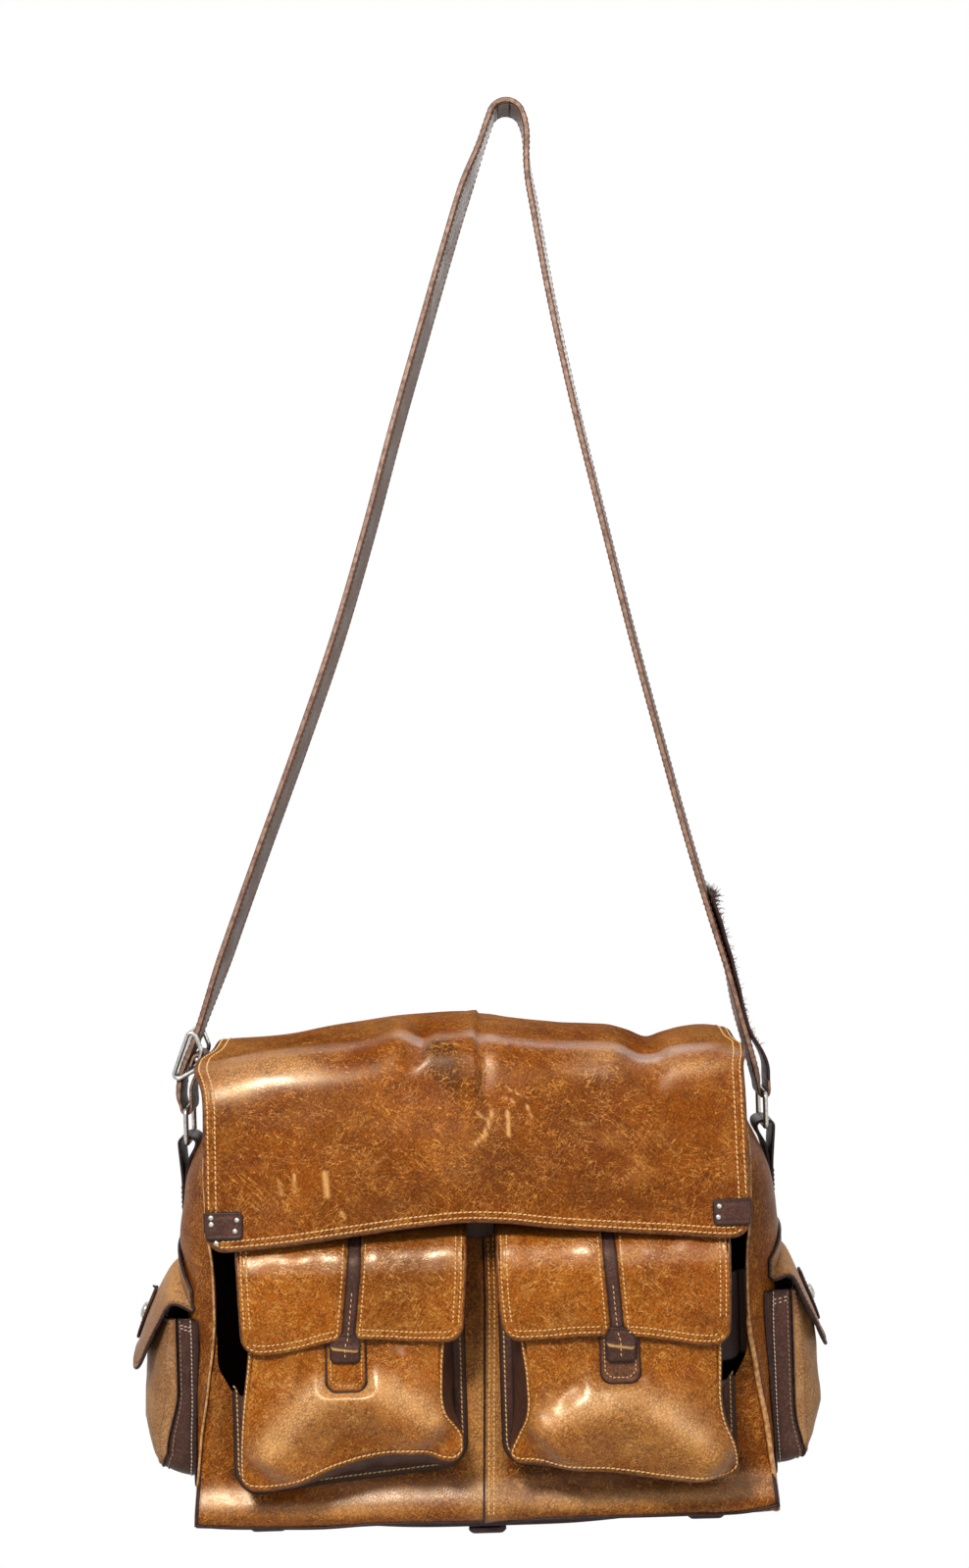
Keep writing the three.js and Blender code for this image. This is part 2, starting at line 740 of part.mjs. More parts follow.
function tongueMagnet(side) {
  const back = -pocketFlapY(tabBottom) + gap - trimLeather;
  const from = keeperFace + gap;
  return disc(plateRadius, Math.min(back, -pocketFlapY(tabBottom)) - from,
    [side * keeperCentre, -from, plateHeight], outward);
}

for (const [name, side] of bodySides) {
  addPiece(`pocket_gusset_${name}`, "dark", pocketGusset(side));
  addPiece(`pocket_panel_${name}`, "tan", pocketPanel(side));
  addPiece(`keeper_${name}`, "tan", keeperPatch(side));
  addPiece(`snap_plate_${name}`, "nickel", snapPlate(side));
  addPiece(`flap_root_${name}`, "tan", flapRoot(side));
  addPiece(`pocket_flap_${name}`, "tan", pocketFlap(side));
  addPiece(`tongue_${name}`, "dark", flapTongue(side));
  addPiece(`tongue_magnet_${name}`, "nickel", tongueMagnet(side));
}

// The side pockets
const sideRim = gussetCrown(sideFloor) + sideRimStand;

function sideGusset(side) {
  const path = pocketPath(-sideHalfDepth, sideHalfDepth, sideFloor, sideFloor, sideTop, sideCorner);
  return wallAlong(path, trimLeather, (y, z) => gussetX(y, z) + gap, () => sideRim,
    (y, z, depth) => [side * depth, y, z]);
}

function sideFloorAt(y) {
  return sideFloor + cornerRise(y, -sideHalfDepth, sideHalfDepth, sideCorner);
}

function sidePanelX(y, z) {
  const across = Math.sqrt(Math.max(1 - (y / sideHalfDepth) ** 2, 0));
  const up = THREE.MathUtils.clamp((z - sideFloor) / (sideTop - sideFloor), 0, 1);
  const [from, span] = sideCrownShares;
  const swell = Math.min(1, sideCrownGain * Math.sin(Math.PI * (from + span * up)));
  const share = swell * Math.sqrt(Math.min(1, up * sideFootGain));
  return sideRim + gap + panelLeather + sideCrown * across * lerp(share, share * sideTopShare, up ** 4);
}

function sidePanel(side) {
  const places = roundedColumns(-sideHalfDepth, sideHalfDepth, sideCorner, 4);
  const surface = sideLevelShares.map((share) => places.map((y) => {
    const z = lerp(sideTop, sideFloorAt(y), share);
    return [side * sidePanelX(y, z), y, z];
  }));
  const inner = surface.map((row) => row.map(([x, y, z]) => [x - side * panelLeather, y, z]));
  return sheetSolid(surface, inner);
}

function sideSocket(side) {
  const pointAt = (y, z) => [side * sidePanelX(y, z), y, z];
  const [middle, normal] = surfaceFrame(pointAt, 0, sideSnapHeight, sideSocketRadius);
  const out = normal.x * side > 0 ? normal : normal.negate();
  return disc(sideSocketRadius, sideSocketHeight, middle.addScaledVector(out, gap).toArray(), out);
}

// The side pocket flap: a saddle of leather, arched front to back, that hangs outwards from its hinge

const sideHingeX = gussetCrown(sideHingeHeight) + flapSeam + panelLeather / 2;

function sideFlapPoint(y, along) {
  const curve = new THREE.CubicBezierCurve(
    new THREE.Vector2(sideHingeX - panelLeather / 2, sideHingeHeight),
    new THREE.Vector2(sideHingeX + sideFlapReach * sideFlapNearShare, sideHingeHeight + panelLeather),
    new THREE.Vector2(sideHingeX + sideFlapReach * sideFlapFarShare,
      sideHingeHeight - sideFlapDrop * sideFlapFarDropShare),
    new THREE.Vector2(sideHingeX + sideFlapReach, sideHingeHeight - sideFlapDrop));
  const point = curve.getPoint(along);
  const arch = lerp(sideFlapArch, sideFlapTipArch, along);
  return [point.x, y, point.y - arch * (y / sideFlapHalfDepth) ** 2];
}

function sideFlapSurface(places, rows, side) {
  return rows.map((along) => places.map((y) => {
    const rise = cornerRise(y, -sideFlapHalfDepth, sideFlapHalfDepth, sideFlapCorner);
    const reach = 1 - rise / (sideFlapReach + sideFlapDrop);
    return mirrored([sideFlapPoint(y, along * reach)], side)[0];
  }));
}

function sideFlap(side) {
  const places = roundedColumns(-sideFlapHalfDepth, sideFlapHalfDepth, sideFlapCorner, 4);
  const surface = sideFlapSurface(places, sideFlapRowShares, side);
  return leatherSheet(surface, 0, -panelLeather, side);
}

function sideFlapPatch(side) {
  const rows = steps(sidePatchStartShare, sidePatchEndShare, 5);
  const surface = rows.map((along, k) => {
    const share = (2 * k + 1) / (2 * rows.length);
    const half = (sidePatchWidth / 2) * Math.sqrt(Math.sin(Math.PI * share));
    return steps(-half, half, 2).map((y) => mirrored([sideFlapPoint(y, along)], side)[0]);
  });
  return leatherSheet(surface, gap, gap + trimLeather, side);
}

function sideCap(side) {
  const middle = (sidePatchStartShare + sidePatchEndShare) / 2;
  const pointAt = (along) => new THREE.Vector3(...mirrored([sideFlapPoint(0, along)], side)[0]);
  const centre = pointAt(middle);
  const ahead = pointAt(middle + sidePatchStepShare).sub(centre);
  const out = new THREE.Vector3(side * -ahead.z, 0, side * ahead.x).normalize();
  return domedDisc(capRadius, capHeight, centre.addScaledVector(out, 3 * gap + trimLeather).toArray(), out);
}

for (const [name, side] of bodySides) {
  addPiece(`side_pocket_gusset_${name}`, "dark", sideGusset(side));
  addPiece(`side_pocket_panel_${name}`, "tan", sidePanel(side));
  addPiece(`side_snap_socket_${name}`, "nickel", sideSocket(side));
  addPiece(`side_flap_${name}`, "tan", sideFlap(side));
  addPiece(`side_flap_patch_${name}`, "dark", sideFlapPatch(side));
  addPiece(`side_snap_cap_${name}`, "nickel", sideCap(side));
}

// Rings: a round wire bent to a rectangle with rounded corners, in the plane of the strap's width

function wireRing(x, halfY, lowZ, highZ, corner, radius, sides = 8) {
  const path = [];
  const arc = (y, z, from) => {
    for (const angle of steps(from, from + Math.PI / 2, 3)) {
      path.push([y + corner * Math.cos(angle), z + corner * Math.sin(angle)]);
    }
  };
  arc(halfY - corner, highZ - corner, 0);
  arc(-halfY + corner, highZ - corner, Math.PI / 2);
  arc(-halfY + corner, lowZ + corner, Math.PI);
  arc(halfY - corner, lowZ + corner, Math.PI * 1.5);
  const count = path.length;
  const rings = path.map(([y, z], k) => {
    const before = path[(k + count - 1) % count];
    const after = path[(k + 1) % count];
    const length = Math.hypot(after[0] - before[0], after[1] - before[1]);
    const normal = [(after[1] - before[1]) / length, -(after[0] - before[0]) / length];
    return Array.from({ length: sides }, (_, s) => {
      const angle = (2 * Math.PI * s) / sides;
      const out = radius * Math.cos(angle);
      return [x + radius * Math.sin(angle), y + out * normal[0], z + out * normal[1]];
    });
  });
  const triangles = [];
  for (let k = 0; k < count; k++) {
    for (let s = 0; s < sides; s++) {
      const [a, b] = [k * sides, ((k + 1) % count) * sides];
      const next = (s + 1) % sides;
      triangles.push([a + s, a + next, b + next], [a + s, b + next, b + s]);
    }
  }
  return solidFromTriangles(rings.flat(), triangles);
}

const wireRadius = ringWire / 2;
const ringTopHeight = bodyHeight - ringDrop;
const ringBottomHeight = ringTopHeight - ringPitch;
const ringX = gussetCrown(ringBottomHeight) + ringStand;
const tabSeatHeight = ringBottomHeight - tabSeatDrop;
const tabSeatTop = tabSeatHeight + tabTailLength;

for (const [name, side] of bodySides) {
  addPiece(`ring_${name}`, "nickel", wireRing(side * ringX, ringInnerWidth / 2 + wireRadius,
    ringBottomHeight, ringTopHeight, ringCorner, wireRadius));
}

// Ring tabs: a folded strip that makes a loop round the ring and a tail on the gusset

function extrudeAlongY(shape, width) {
  const options = { depth: width, bevelEnabled: false, curveSegments: 8 };
  const geometry = new THREE.ExtrudeGeometry(shape, options);
  geometry.rotateX(Math.PI / 2);
  geometry.translate(0, width / 2, 0);
  return geometry;
}

function ringTab(side) {
  const centreX = ringX;
  const centreZ = ringBottomHeight + wireRadius + tabSlack - tabLoopRadius;
  const outerRadius = tabLoopRadius + trimLeather;
  const seatX = gussetX(0, tabSeatHeight) + 2 * gap;
  const tail = 2 * trimLeather;
  const tangent = Math.PI * tabTangentShare;
  const shape = new THREE.Shape();
  shape.moveTo(seatX, tabSeatHeight);
  shape.lineTo(seatX + tail, tabSeatHeight);
  shape.lineTo(seatX + tail, tabSeatTop);
  shape.absarc(centreX, centreZ, outerRadius, -tangent, Math.PI + tangent, false);
  shape.lineTo(seatX, tabSeatTop);
  shape.closePath();
  const hole = new THREE.Path();
  hole.moveTo(seatX + trimLeather, tabSeatTop + trimLeather);
  hole.absarc(centreX, centreZ, tabLoopRadius, -tangent, Math.PI + tangent, false);
  hole.closePath();
  shape.holes.push(hole);
  const geometry = extrudeAlongY(shape, tabStrapWidth);
  if (side < 0) geometry.rotateZ(Math.PI);
  return geometry;
}

for (const [name, side] of bodySides) addPiece(`ring_tab_${name}`, "dark", ringTab(side));

// The shoulder strap: one band round the left ring, up over the hook and down round the right ring

const loopInner = wireRadius + gap + loopEase;
const loopMiddle = loopInner + strapEndLeather / 2;
const slideHeight = ringTopHeight + slideRise;

const leftFoot = [-ringX - loopInner - strapThickness / 2, slideHeight - slideLength / 2];
const slideDirection = new THREE.Vector2(slideSlope, 1).normalize();
const slideCentre = new THREE.Vector2(leftFoot[0] + slideSlope * (slideHeight - leftFoot[1]), slideHeight);

function legCurve(points) {
  const places = points.map(([x, z]) => new THREE.Vector3(x, 0, z));
  return new THREE.CatmullRomCurve3(places, false, "centripetal");
}

// The strap's middle line where it bends over the hook
function hookTurn() {
  const apex = hookRadius + strapThickness / 2;
  const [from, to] = hookTurnShares.map((share) => share * Math.PI);
  return steps(from, to, 7).map((angle) => [
    hookX + apex * Math.cos(angle), hookHeight - hookRadius + apex * Math.sin(angle)]);
}

function bowedLeg(foot, top, shares) {
  const [across, up] = [top[0] - foot[0], top[1] - foot[1]];
  const length = Math.hypot(across, up);
  return shares.map(([along, bow]) => [
    foot[0] + along * across - bow * legBow * (up / length),
    foot[1] + along * up + bow * legBow * (across / length)]);
}

const rightFoot = [ringX - loopInner - strapThickness / 2, ringTopHeight + ringWire + wireRadius];
const rightLeg = legCurve(bowedLeg(rightFoot, hookTurn().at(-1), rightLegShares));

function strapMiddleLine() {
  const leftStart = [leftFoot[0] + slideSlope * slideRun, leftFoot[1] + slideRun];
  const left = legCurve([leftStart, ...bowedLeg(leftStart, hookTurn()[0], leftLegShares)]);
  const line = [[leftFoot[0], ringTopHeight], leftFoot];
  line.push(...left.getPoints(22).map((point) => [point.x, point.z]));
  line.push(...hookTurn());
  line.push(...rightLeg.getPoints(24).reverse().map((point) => [point.x, point.z]));
  line.push(rightFoot, [rightFoot[0], ringTopHeight]);
  return line;
}

// The two edges of a band whose middle line and thickness at each point are given
function bandEdges(line, thicknessAt) {
  const edge = (way) => line.map(([x, z], k) => {
    const before = line[Math.max(k - 1, 0)];
    const after = line[Math.min(k + 1, line.length - 1)];
    const length = Math.hypot(after[0] - before[0], after[1] - before[1]);
    const half = (way * thicknessAt(k)) / 2;
    return [x - half * ((after[1] - before[1]) / length), z + half * ((after[0] - before[0]) / length)];
  });
  return [edge(1), edge(-1)];
}

function bandSolid(line, thicknessAt, width) {
  const rows = bandEdges(line, thicknessAt);
  const [outer, inner] = rows.map((points) => points.map(([x, z]) => [
    [x, -width / 2, z], [x, width / 2, z]]));
  return sheetSolid(outer, inner);
}

// The turn of the band under a ring's upper bar, from its inner side to its outer side
function ringTurn(side, fromAngle, toAngle) {
  return steps(fromAngle, toAngle, ringTurnCount).map((angle) => [
    side * ringX + loopMiddle * Math.cos(angle), ringTopHeight + loopMiddle * Math.sin(angle)]);
}

function shoulderStrap() {
  const leftTurn = ringTurn(-1, 0, -Math.PI);
  const rightTurn = ringTurn(1, -Math.PI, 0);
  const middle = strapMiddleLine();
  const start = [[leftTurn[0][0], ringTopHeight + turnRise], ...leftTurn];
  const end = [...rightTurn, [rightTurn.at(-1)[0], ringTopHeight + turnRise]];
  const line = [...start, ...middle.slice(1), ...end];
  const isThin = (k) => k < start.length || k >= line.length - end.length;
  return bandSolid(line, (k) => (isThin(k) ? strapEndLeather : strapThickness), strapWidth);
}

addPiece("shoulder_strap", "strap", shoulderStrap());

// The fold-back of the strap's right end, sewn along the outer side of the leg

function strapFoldEnd() {
  const out = strapThickness / 2 + gap + strapEndLeather / 2;
  const leg = rightLeg.getPoints(24).map((point) => [point.x, point.z]);
  const start = [ringX + loopMiddle, ringTopHeight + turnRise + gap];
  const near = start[1] + foldEndJoin;
  const far = start[1] + foldEndLength;
  const beside = bandEdges(leg, () => 2 * out)[1].filter(([x, z]) => z > near && z < far);
  return bandSolid([start, [start[0], start[1] + turnRise], ...beside], () => strapEndLeather, strapWidth);
}

addPiece("strap_fold_end", "strap", strapFoldEnd());

// The slide: two side plates, two outer bars outside the strap and an inner bar that holds its end

const slideInward = new THREE.Vector2(slideDirection.y, -slideDirection.x);
const slideBar = slideWire / 2;
const outerBarPlace = -(strapThickness / 2 + gap + slideBar);
const innerBarPlace = strapThickness / 2 + 2 * gap + strapEndLeather + slideBar;

function slidePoint(along, inward) {
  return slideCentre.clone().addScaledVector(slideDirection, along).addScaledVector(slideInward, inward);
}

function toSolid(geometry) {
  const plain = geometry.clone();
  plain.deleteAttribute("normal");
  plain.deleteAttribute("uv");
  const merged = mergeVertices(plain, mergeTolerance);
  return new wasm.Manifold(new wasm.Mesh({
    numProp: 3,
    vertProperties: new Float32Array(merged.attributes.position.array),
    triVerts: new Uint32Array(merged.index.array),
  }));
}

function fromSolid(solid) {
  const mesh = solid.getMesh();
  const geometry = new THREE.BufferGeometry();
  geometry.setAttribute("position", new THREE.BufferAttribute(mesh.vertProperties, 3));
  geometry.setIndex(new THREE.BufferAttribute(mesh.triVerts, 1));
  return geometry;
}

function slidePlateSolid(way) {
  const low = outerBarPlace - slideBar - slideRim;
  const high = innerBarPlace + slideBar + slideRim;
  const half = slideLength / 2;
  const outline = [[-half, low], [half, low], [half, low + 2 * slideWire], [slideWire * 2, high],
    [-slideWire * 2, high], [-half, low + 2 * slideWire]];
  const shape = new THREE.Shape(outline.map(([along, inward]) => slidePoint(along, inward)));
  const geometry = extrudeAlongY(shape, slidePlate);
  geometry.translate(0, way * (strapWidth / 2 + slideEase + slidePlate / 2), 0);
  return toSolid(geometry);
}

function slideBarSolid(along, inward) {
  const length = strapWidth + 2 * slideEase + slidePlate;
  const geometry = new THREE.CylinderGeometry(slideBar, slideBar, length, 10);
  const place = slidePoint(along, inward);
  geometry.translate(place.x, 0, place.y);
  return toSolid(geometry);
}

function slideBuckle() {
  const reach = slideLength / 2 - slideBar;
  const parts = [slidePlateSolid(1), slideBarSolid(-reach, outerBarPlace),
    slideBarSolid(reach, outerBarPlace), slideBarSolid(0, innerBarPlace)];
  return fromSolid(parts.reduce((whole, piece) => whole.add(piece), slidePlateSolid(-1)));
}

addPiece("slide_buckle", "nickel", slideBuckle());

// The inner layer of the left end, from the ring up to the slide, sewn round its inner bar

function adjustLoop() {
  const radius = slideBar + gap + strapEndLeather / 2;
  const wrap = steps(0, Math.PI, 6).map((angle) => slidePoint(
    radius * Math.sin(angle), innerBarPlace + radius * Math.cos(angle)));
  const tail = slidePoint(-2 * slideWire, innerBarPlace - radius);
  const start = [-ringX + loopMiddle, ringTopHeight + turnRise + gap];
  const rest = [...wrap, tail].map((point) => [point.x, point.y]);
  const line = [start, [start[0], start[1] + turnRise / 2], ...rest];
  return bandSolid(line, () => strapEndLeather, strapWidth - 2 * gap);
}

addPiece("adjust_loop", "strap", adjustLoop());

export default satchel;
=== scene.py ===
"""The looks of the leather satchel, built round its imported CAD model.

Lengths are millimetres in the bag's own frame, whose origin is the middle of the bag's underside in the
strap's plane, until world() turns them into the row's frame in metres.
"""

import math

import bpy
import numpy as np
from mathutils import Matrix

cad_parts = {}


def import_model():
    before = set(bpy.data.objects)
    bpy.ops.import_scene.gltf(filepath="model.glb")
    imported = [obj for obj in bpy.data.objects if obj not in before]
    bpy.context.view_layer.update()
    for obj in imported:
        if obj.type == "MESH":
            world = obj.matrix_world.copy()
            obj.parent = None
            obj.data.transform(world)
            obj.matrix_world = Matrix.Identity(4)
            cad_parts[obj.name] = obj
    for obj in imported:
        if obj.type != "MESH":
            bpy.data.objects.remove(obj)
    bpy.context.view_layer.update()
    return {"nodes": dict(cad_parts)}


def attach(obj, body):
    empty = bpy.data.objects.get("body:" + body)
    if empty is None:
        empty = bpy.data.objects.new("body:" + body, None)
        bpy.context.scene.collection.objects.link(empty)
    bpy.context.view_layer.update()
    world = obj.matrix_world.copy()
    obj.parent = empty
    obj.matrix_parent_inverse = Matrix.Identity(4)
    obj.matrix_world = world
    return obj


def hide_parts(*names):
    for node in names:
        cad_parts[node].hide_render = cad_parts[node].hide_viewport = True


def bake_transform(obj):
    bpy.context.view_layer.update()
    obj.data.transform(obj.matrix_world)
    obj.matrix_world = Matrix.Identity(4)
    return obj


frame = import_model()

HOOK = np.array([42.0, 0.0, 981.0])
SIDES = (("left", -1), ("right", 1))


def world(points):
    return (np.asarray(points, float) - HOOK) / 1000


def lerp(a, b, share):
    return a + (b - a) * share


def ease(share):
    share = np.clip(share, 0, 1)
    return share * share * (3 - 2 * share)


def unit(vectors):
    return vectors / np.maximum(np.linalg.norm(vectors, axis=-1, keepdims=True), 1e-9)


def smooth_table(table, at):
    """Reads a table of (place, value) rows with a smooth curve through the rows."""
    places, values = np.array(table, float).T
    slopes = np.gradient(values, places)
    at = np.clip(at, places[0], places[-1])
    k = np.clip(np.searchsorted(places, at, side="right") - 1, 0, len(places) - 2)
    span = places[k + 1] - places[k]
    u = (at - places[k]) / span
    a, b = values[k], values[k + 1]
    return ((2 * u**3 - 3 * u**2 + 1) * a + (u**3 - 2 * u**2 + u) * span * slopes[k]
            + (3 * u**2 - 2 * u**3) * b + (u**3 - u**2) * span * slopes[k + 1])


def smooth_path(points, count=40):
    """Even steps along a smooth curve through the points."""
    points = np.array(points, float)
    lengths = np.concatenate([[0], np.cumsum(np.linalg.norm(np.diff(points, axis=0), axis=1))])
    at = np.linspace(0, lengths[-1], count)
    return np.stack([smooth_table(np.stack([lengths, column], 1), at) for column in points.T], 1)


def resample(points, count):
    points = np.asarray(points, float)
    lengths = np.concatenate([[0], np.cumsum(np.linalg.norm(np.diff(points, axis=0), axis=1))])
    at = np.linspace(0, lengths[-1], count)
    return np.stack([np.interp(at, lengths, column) for column in points.T], 1)


def ripples(u, v, size, seed, waves=8):
    """Smooth seeded unevenness of about -1 to 1, whose bumps are about size long."""
    draw = np.random.default_rng(seed)
    total = np.zeros(np.broadcast(u, v).shape)
    for _ in range(waves):
        angle, phase = draw.uniform(0, 2 * math.pi, 2)
        wave = size * draw.uniform(0.7, 2.0)
        total = total + np.sin((u * math.cos(angle) + v * math.sin(angle)) * 2 * math.pi / wave + phase)
    return total / math.sqrt(waves)


def beside(u, v, path):
    """Signed distance from a path, and the share of the path at the nearest place."""
    path = np.array(path, float)
    lengths = np.linalg.norm(np.diff(path, axis=0), axis=1)
    starts = np.concatenate([[0], np.cumsum(lengths)])
    best = np.full(np.broadcast(u, v).shape, 1e9)
    share = np.zeros_like(best)
    sign = np.ones_like(best)
    for k, (a, b) in enumerate(zip(path[:-1], path[1:])):
        d = b - a
        t = np.clip(((u - a[0]) * d[0] + (v - a[1]) * d[1]) / (d @ d), 0, 1)
        du, dv = u - a[0] - t * d[0], v - a[1] - t * d[1]
        distance = np.hypot(du, dv)
        near = distance < best
        best = np.where(near, distance, best)
        share = np.where(near, (starts[k] + t * lengths[k]) / starts[-1], share)
        sign = np.where(near, np.sign(d[0] * dv - d[1] * du), sign)
    return best * sign, share


def fold(u, v, path, height, left, right, fade=0.25, sharp=2.0):
    """A ridge, or with a negative height a valley, along a path. Left and right are its widths to either side."""
    distance, share = beside(u, v, smooth_path(path, 24))
    width = np.where(distance > 0, left, right)
    taper = ease(share / fade) * ease((1 - share) / fade) if fade else 1
    return height * taper * np.exp(-np.abs(distance / width) ** sharp)


# Materials


def linear(colour):
    """A linear colour from one written as 0 to 255 on a screen."""
    share = np.array(colour, float) / 255
    return (*np.where(share <= 0.04045, share / 12.92, ((share + 0.055) / 1.055) ** 2.4), 1.0)


class Shader:
    """Builds one node material, a node for each call."""

    def __init__(self, name):
        self.material = bpy.data.materials.new(name)
        self.material.use_nodes = True
        self.tree = self.material.node_tree
        self.tree.nodes.clear()

    def add(self, kind, inputs=(), out=0, **settings):
        node = self.tree.nodes.new("ShaderNode" + kind)
        for key, value in settings.items():
            setattr(node, key, value)
        for key, value in dict(inputs).items():
            self.put(node.inputs[key], value)
        return node.outputs[out]

    def put(self, socket, value):
        if isinstance(value, bpy.types.NodeSocket):
            self.tree.links.new(value, socket)
        else:
            socket.default_value = value

    def attribute(self, name, out):
        return self.add("Attribute", out=out, attribute_name=name)

    def noise(self, vector, scale, detail=3.0, roughness=0.55, distortion=0.0):
        return self.add("TexNoise", {"Vector": vector, "Scale": scale, "Detail": detail,
                                     "Roughness": roughness, "Distortion": distortion})

    def turned(self, vector, angles=(0, 0, 0), scale=(1, 1, 1), shift=(0, 0, 0)):
        return self.add("Mapping", {"Vector": vector, "Rotation": angles, "Scale": scale, "Location": shift})

    def span(self, value, low, high, start=0.0, end=1.0):
        return self.add("MapRange", {0: value, 1: low, 2: high, 3: start, 4: end},
                        interpolation_type="SMOOTHSTEP")

    def math(self, operation, a, b=0.0):
        return self.add("Math", {0: a, 1: b}, operation=operation)

    def mix(self, share, a, b, blend="MIX"):
        return self.add("Mix", {0: share, 6: a, 7: b}, out=2, data_type="RGBA", blend_type=blend)

    def hairs(self, vector, scale, width, angle, long):
        """Thin lines where a noise, drawn out along a turned axis, crosses its middle."""
        drawn = self.add("Mapping", {"Vector": vector, "Rotation": (0.35 * angle, angle, 0.2), "Scale": (1, 1, long)},
                         vector_type="TEXTURE")
        field = self.noise(drawn, scale, 2.0, 0.55)
        offset = self.math("ABSOLUTE", self.math("SUBTRACT", field, 0.5))
        return self.span(offset, 0.0, width, 1.0, 0.0)

    def finish(self, colour, roughness, bumps, **constants):
        shader = self.tree.nodes.new("ShaderNodeBsdfPrincipled")
        self.put(shader.inputs["Base Color"], colour)
        self.put(shader.inputs["Roughness"], roughness)
        normal = None
        for height, strength, distance in bumps:
            inputs = {"Height": height, "Strength": strength, "Distance": distance}
            if normal is not None:
                inputs["Normal"] = normal
            normal = self.add("Bump", inputs)
        if normal is not None:
            self.put(shader.inputs["Normal"], normal)
        for key, value in constants.items():
            self.put(shader.inputs[key.replace("_", " ")], value)
        output = self.tree.nodes.new("ShaderNodeOutputMaterial")
        self.tree.links.new(shader.outputs[0], output.inputs[0])
        return self.material


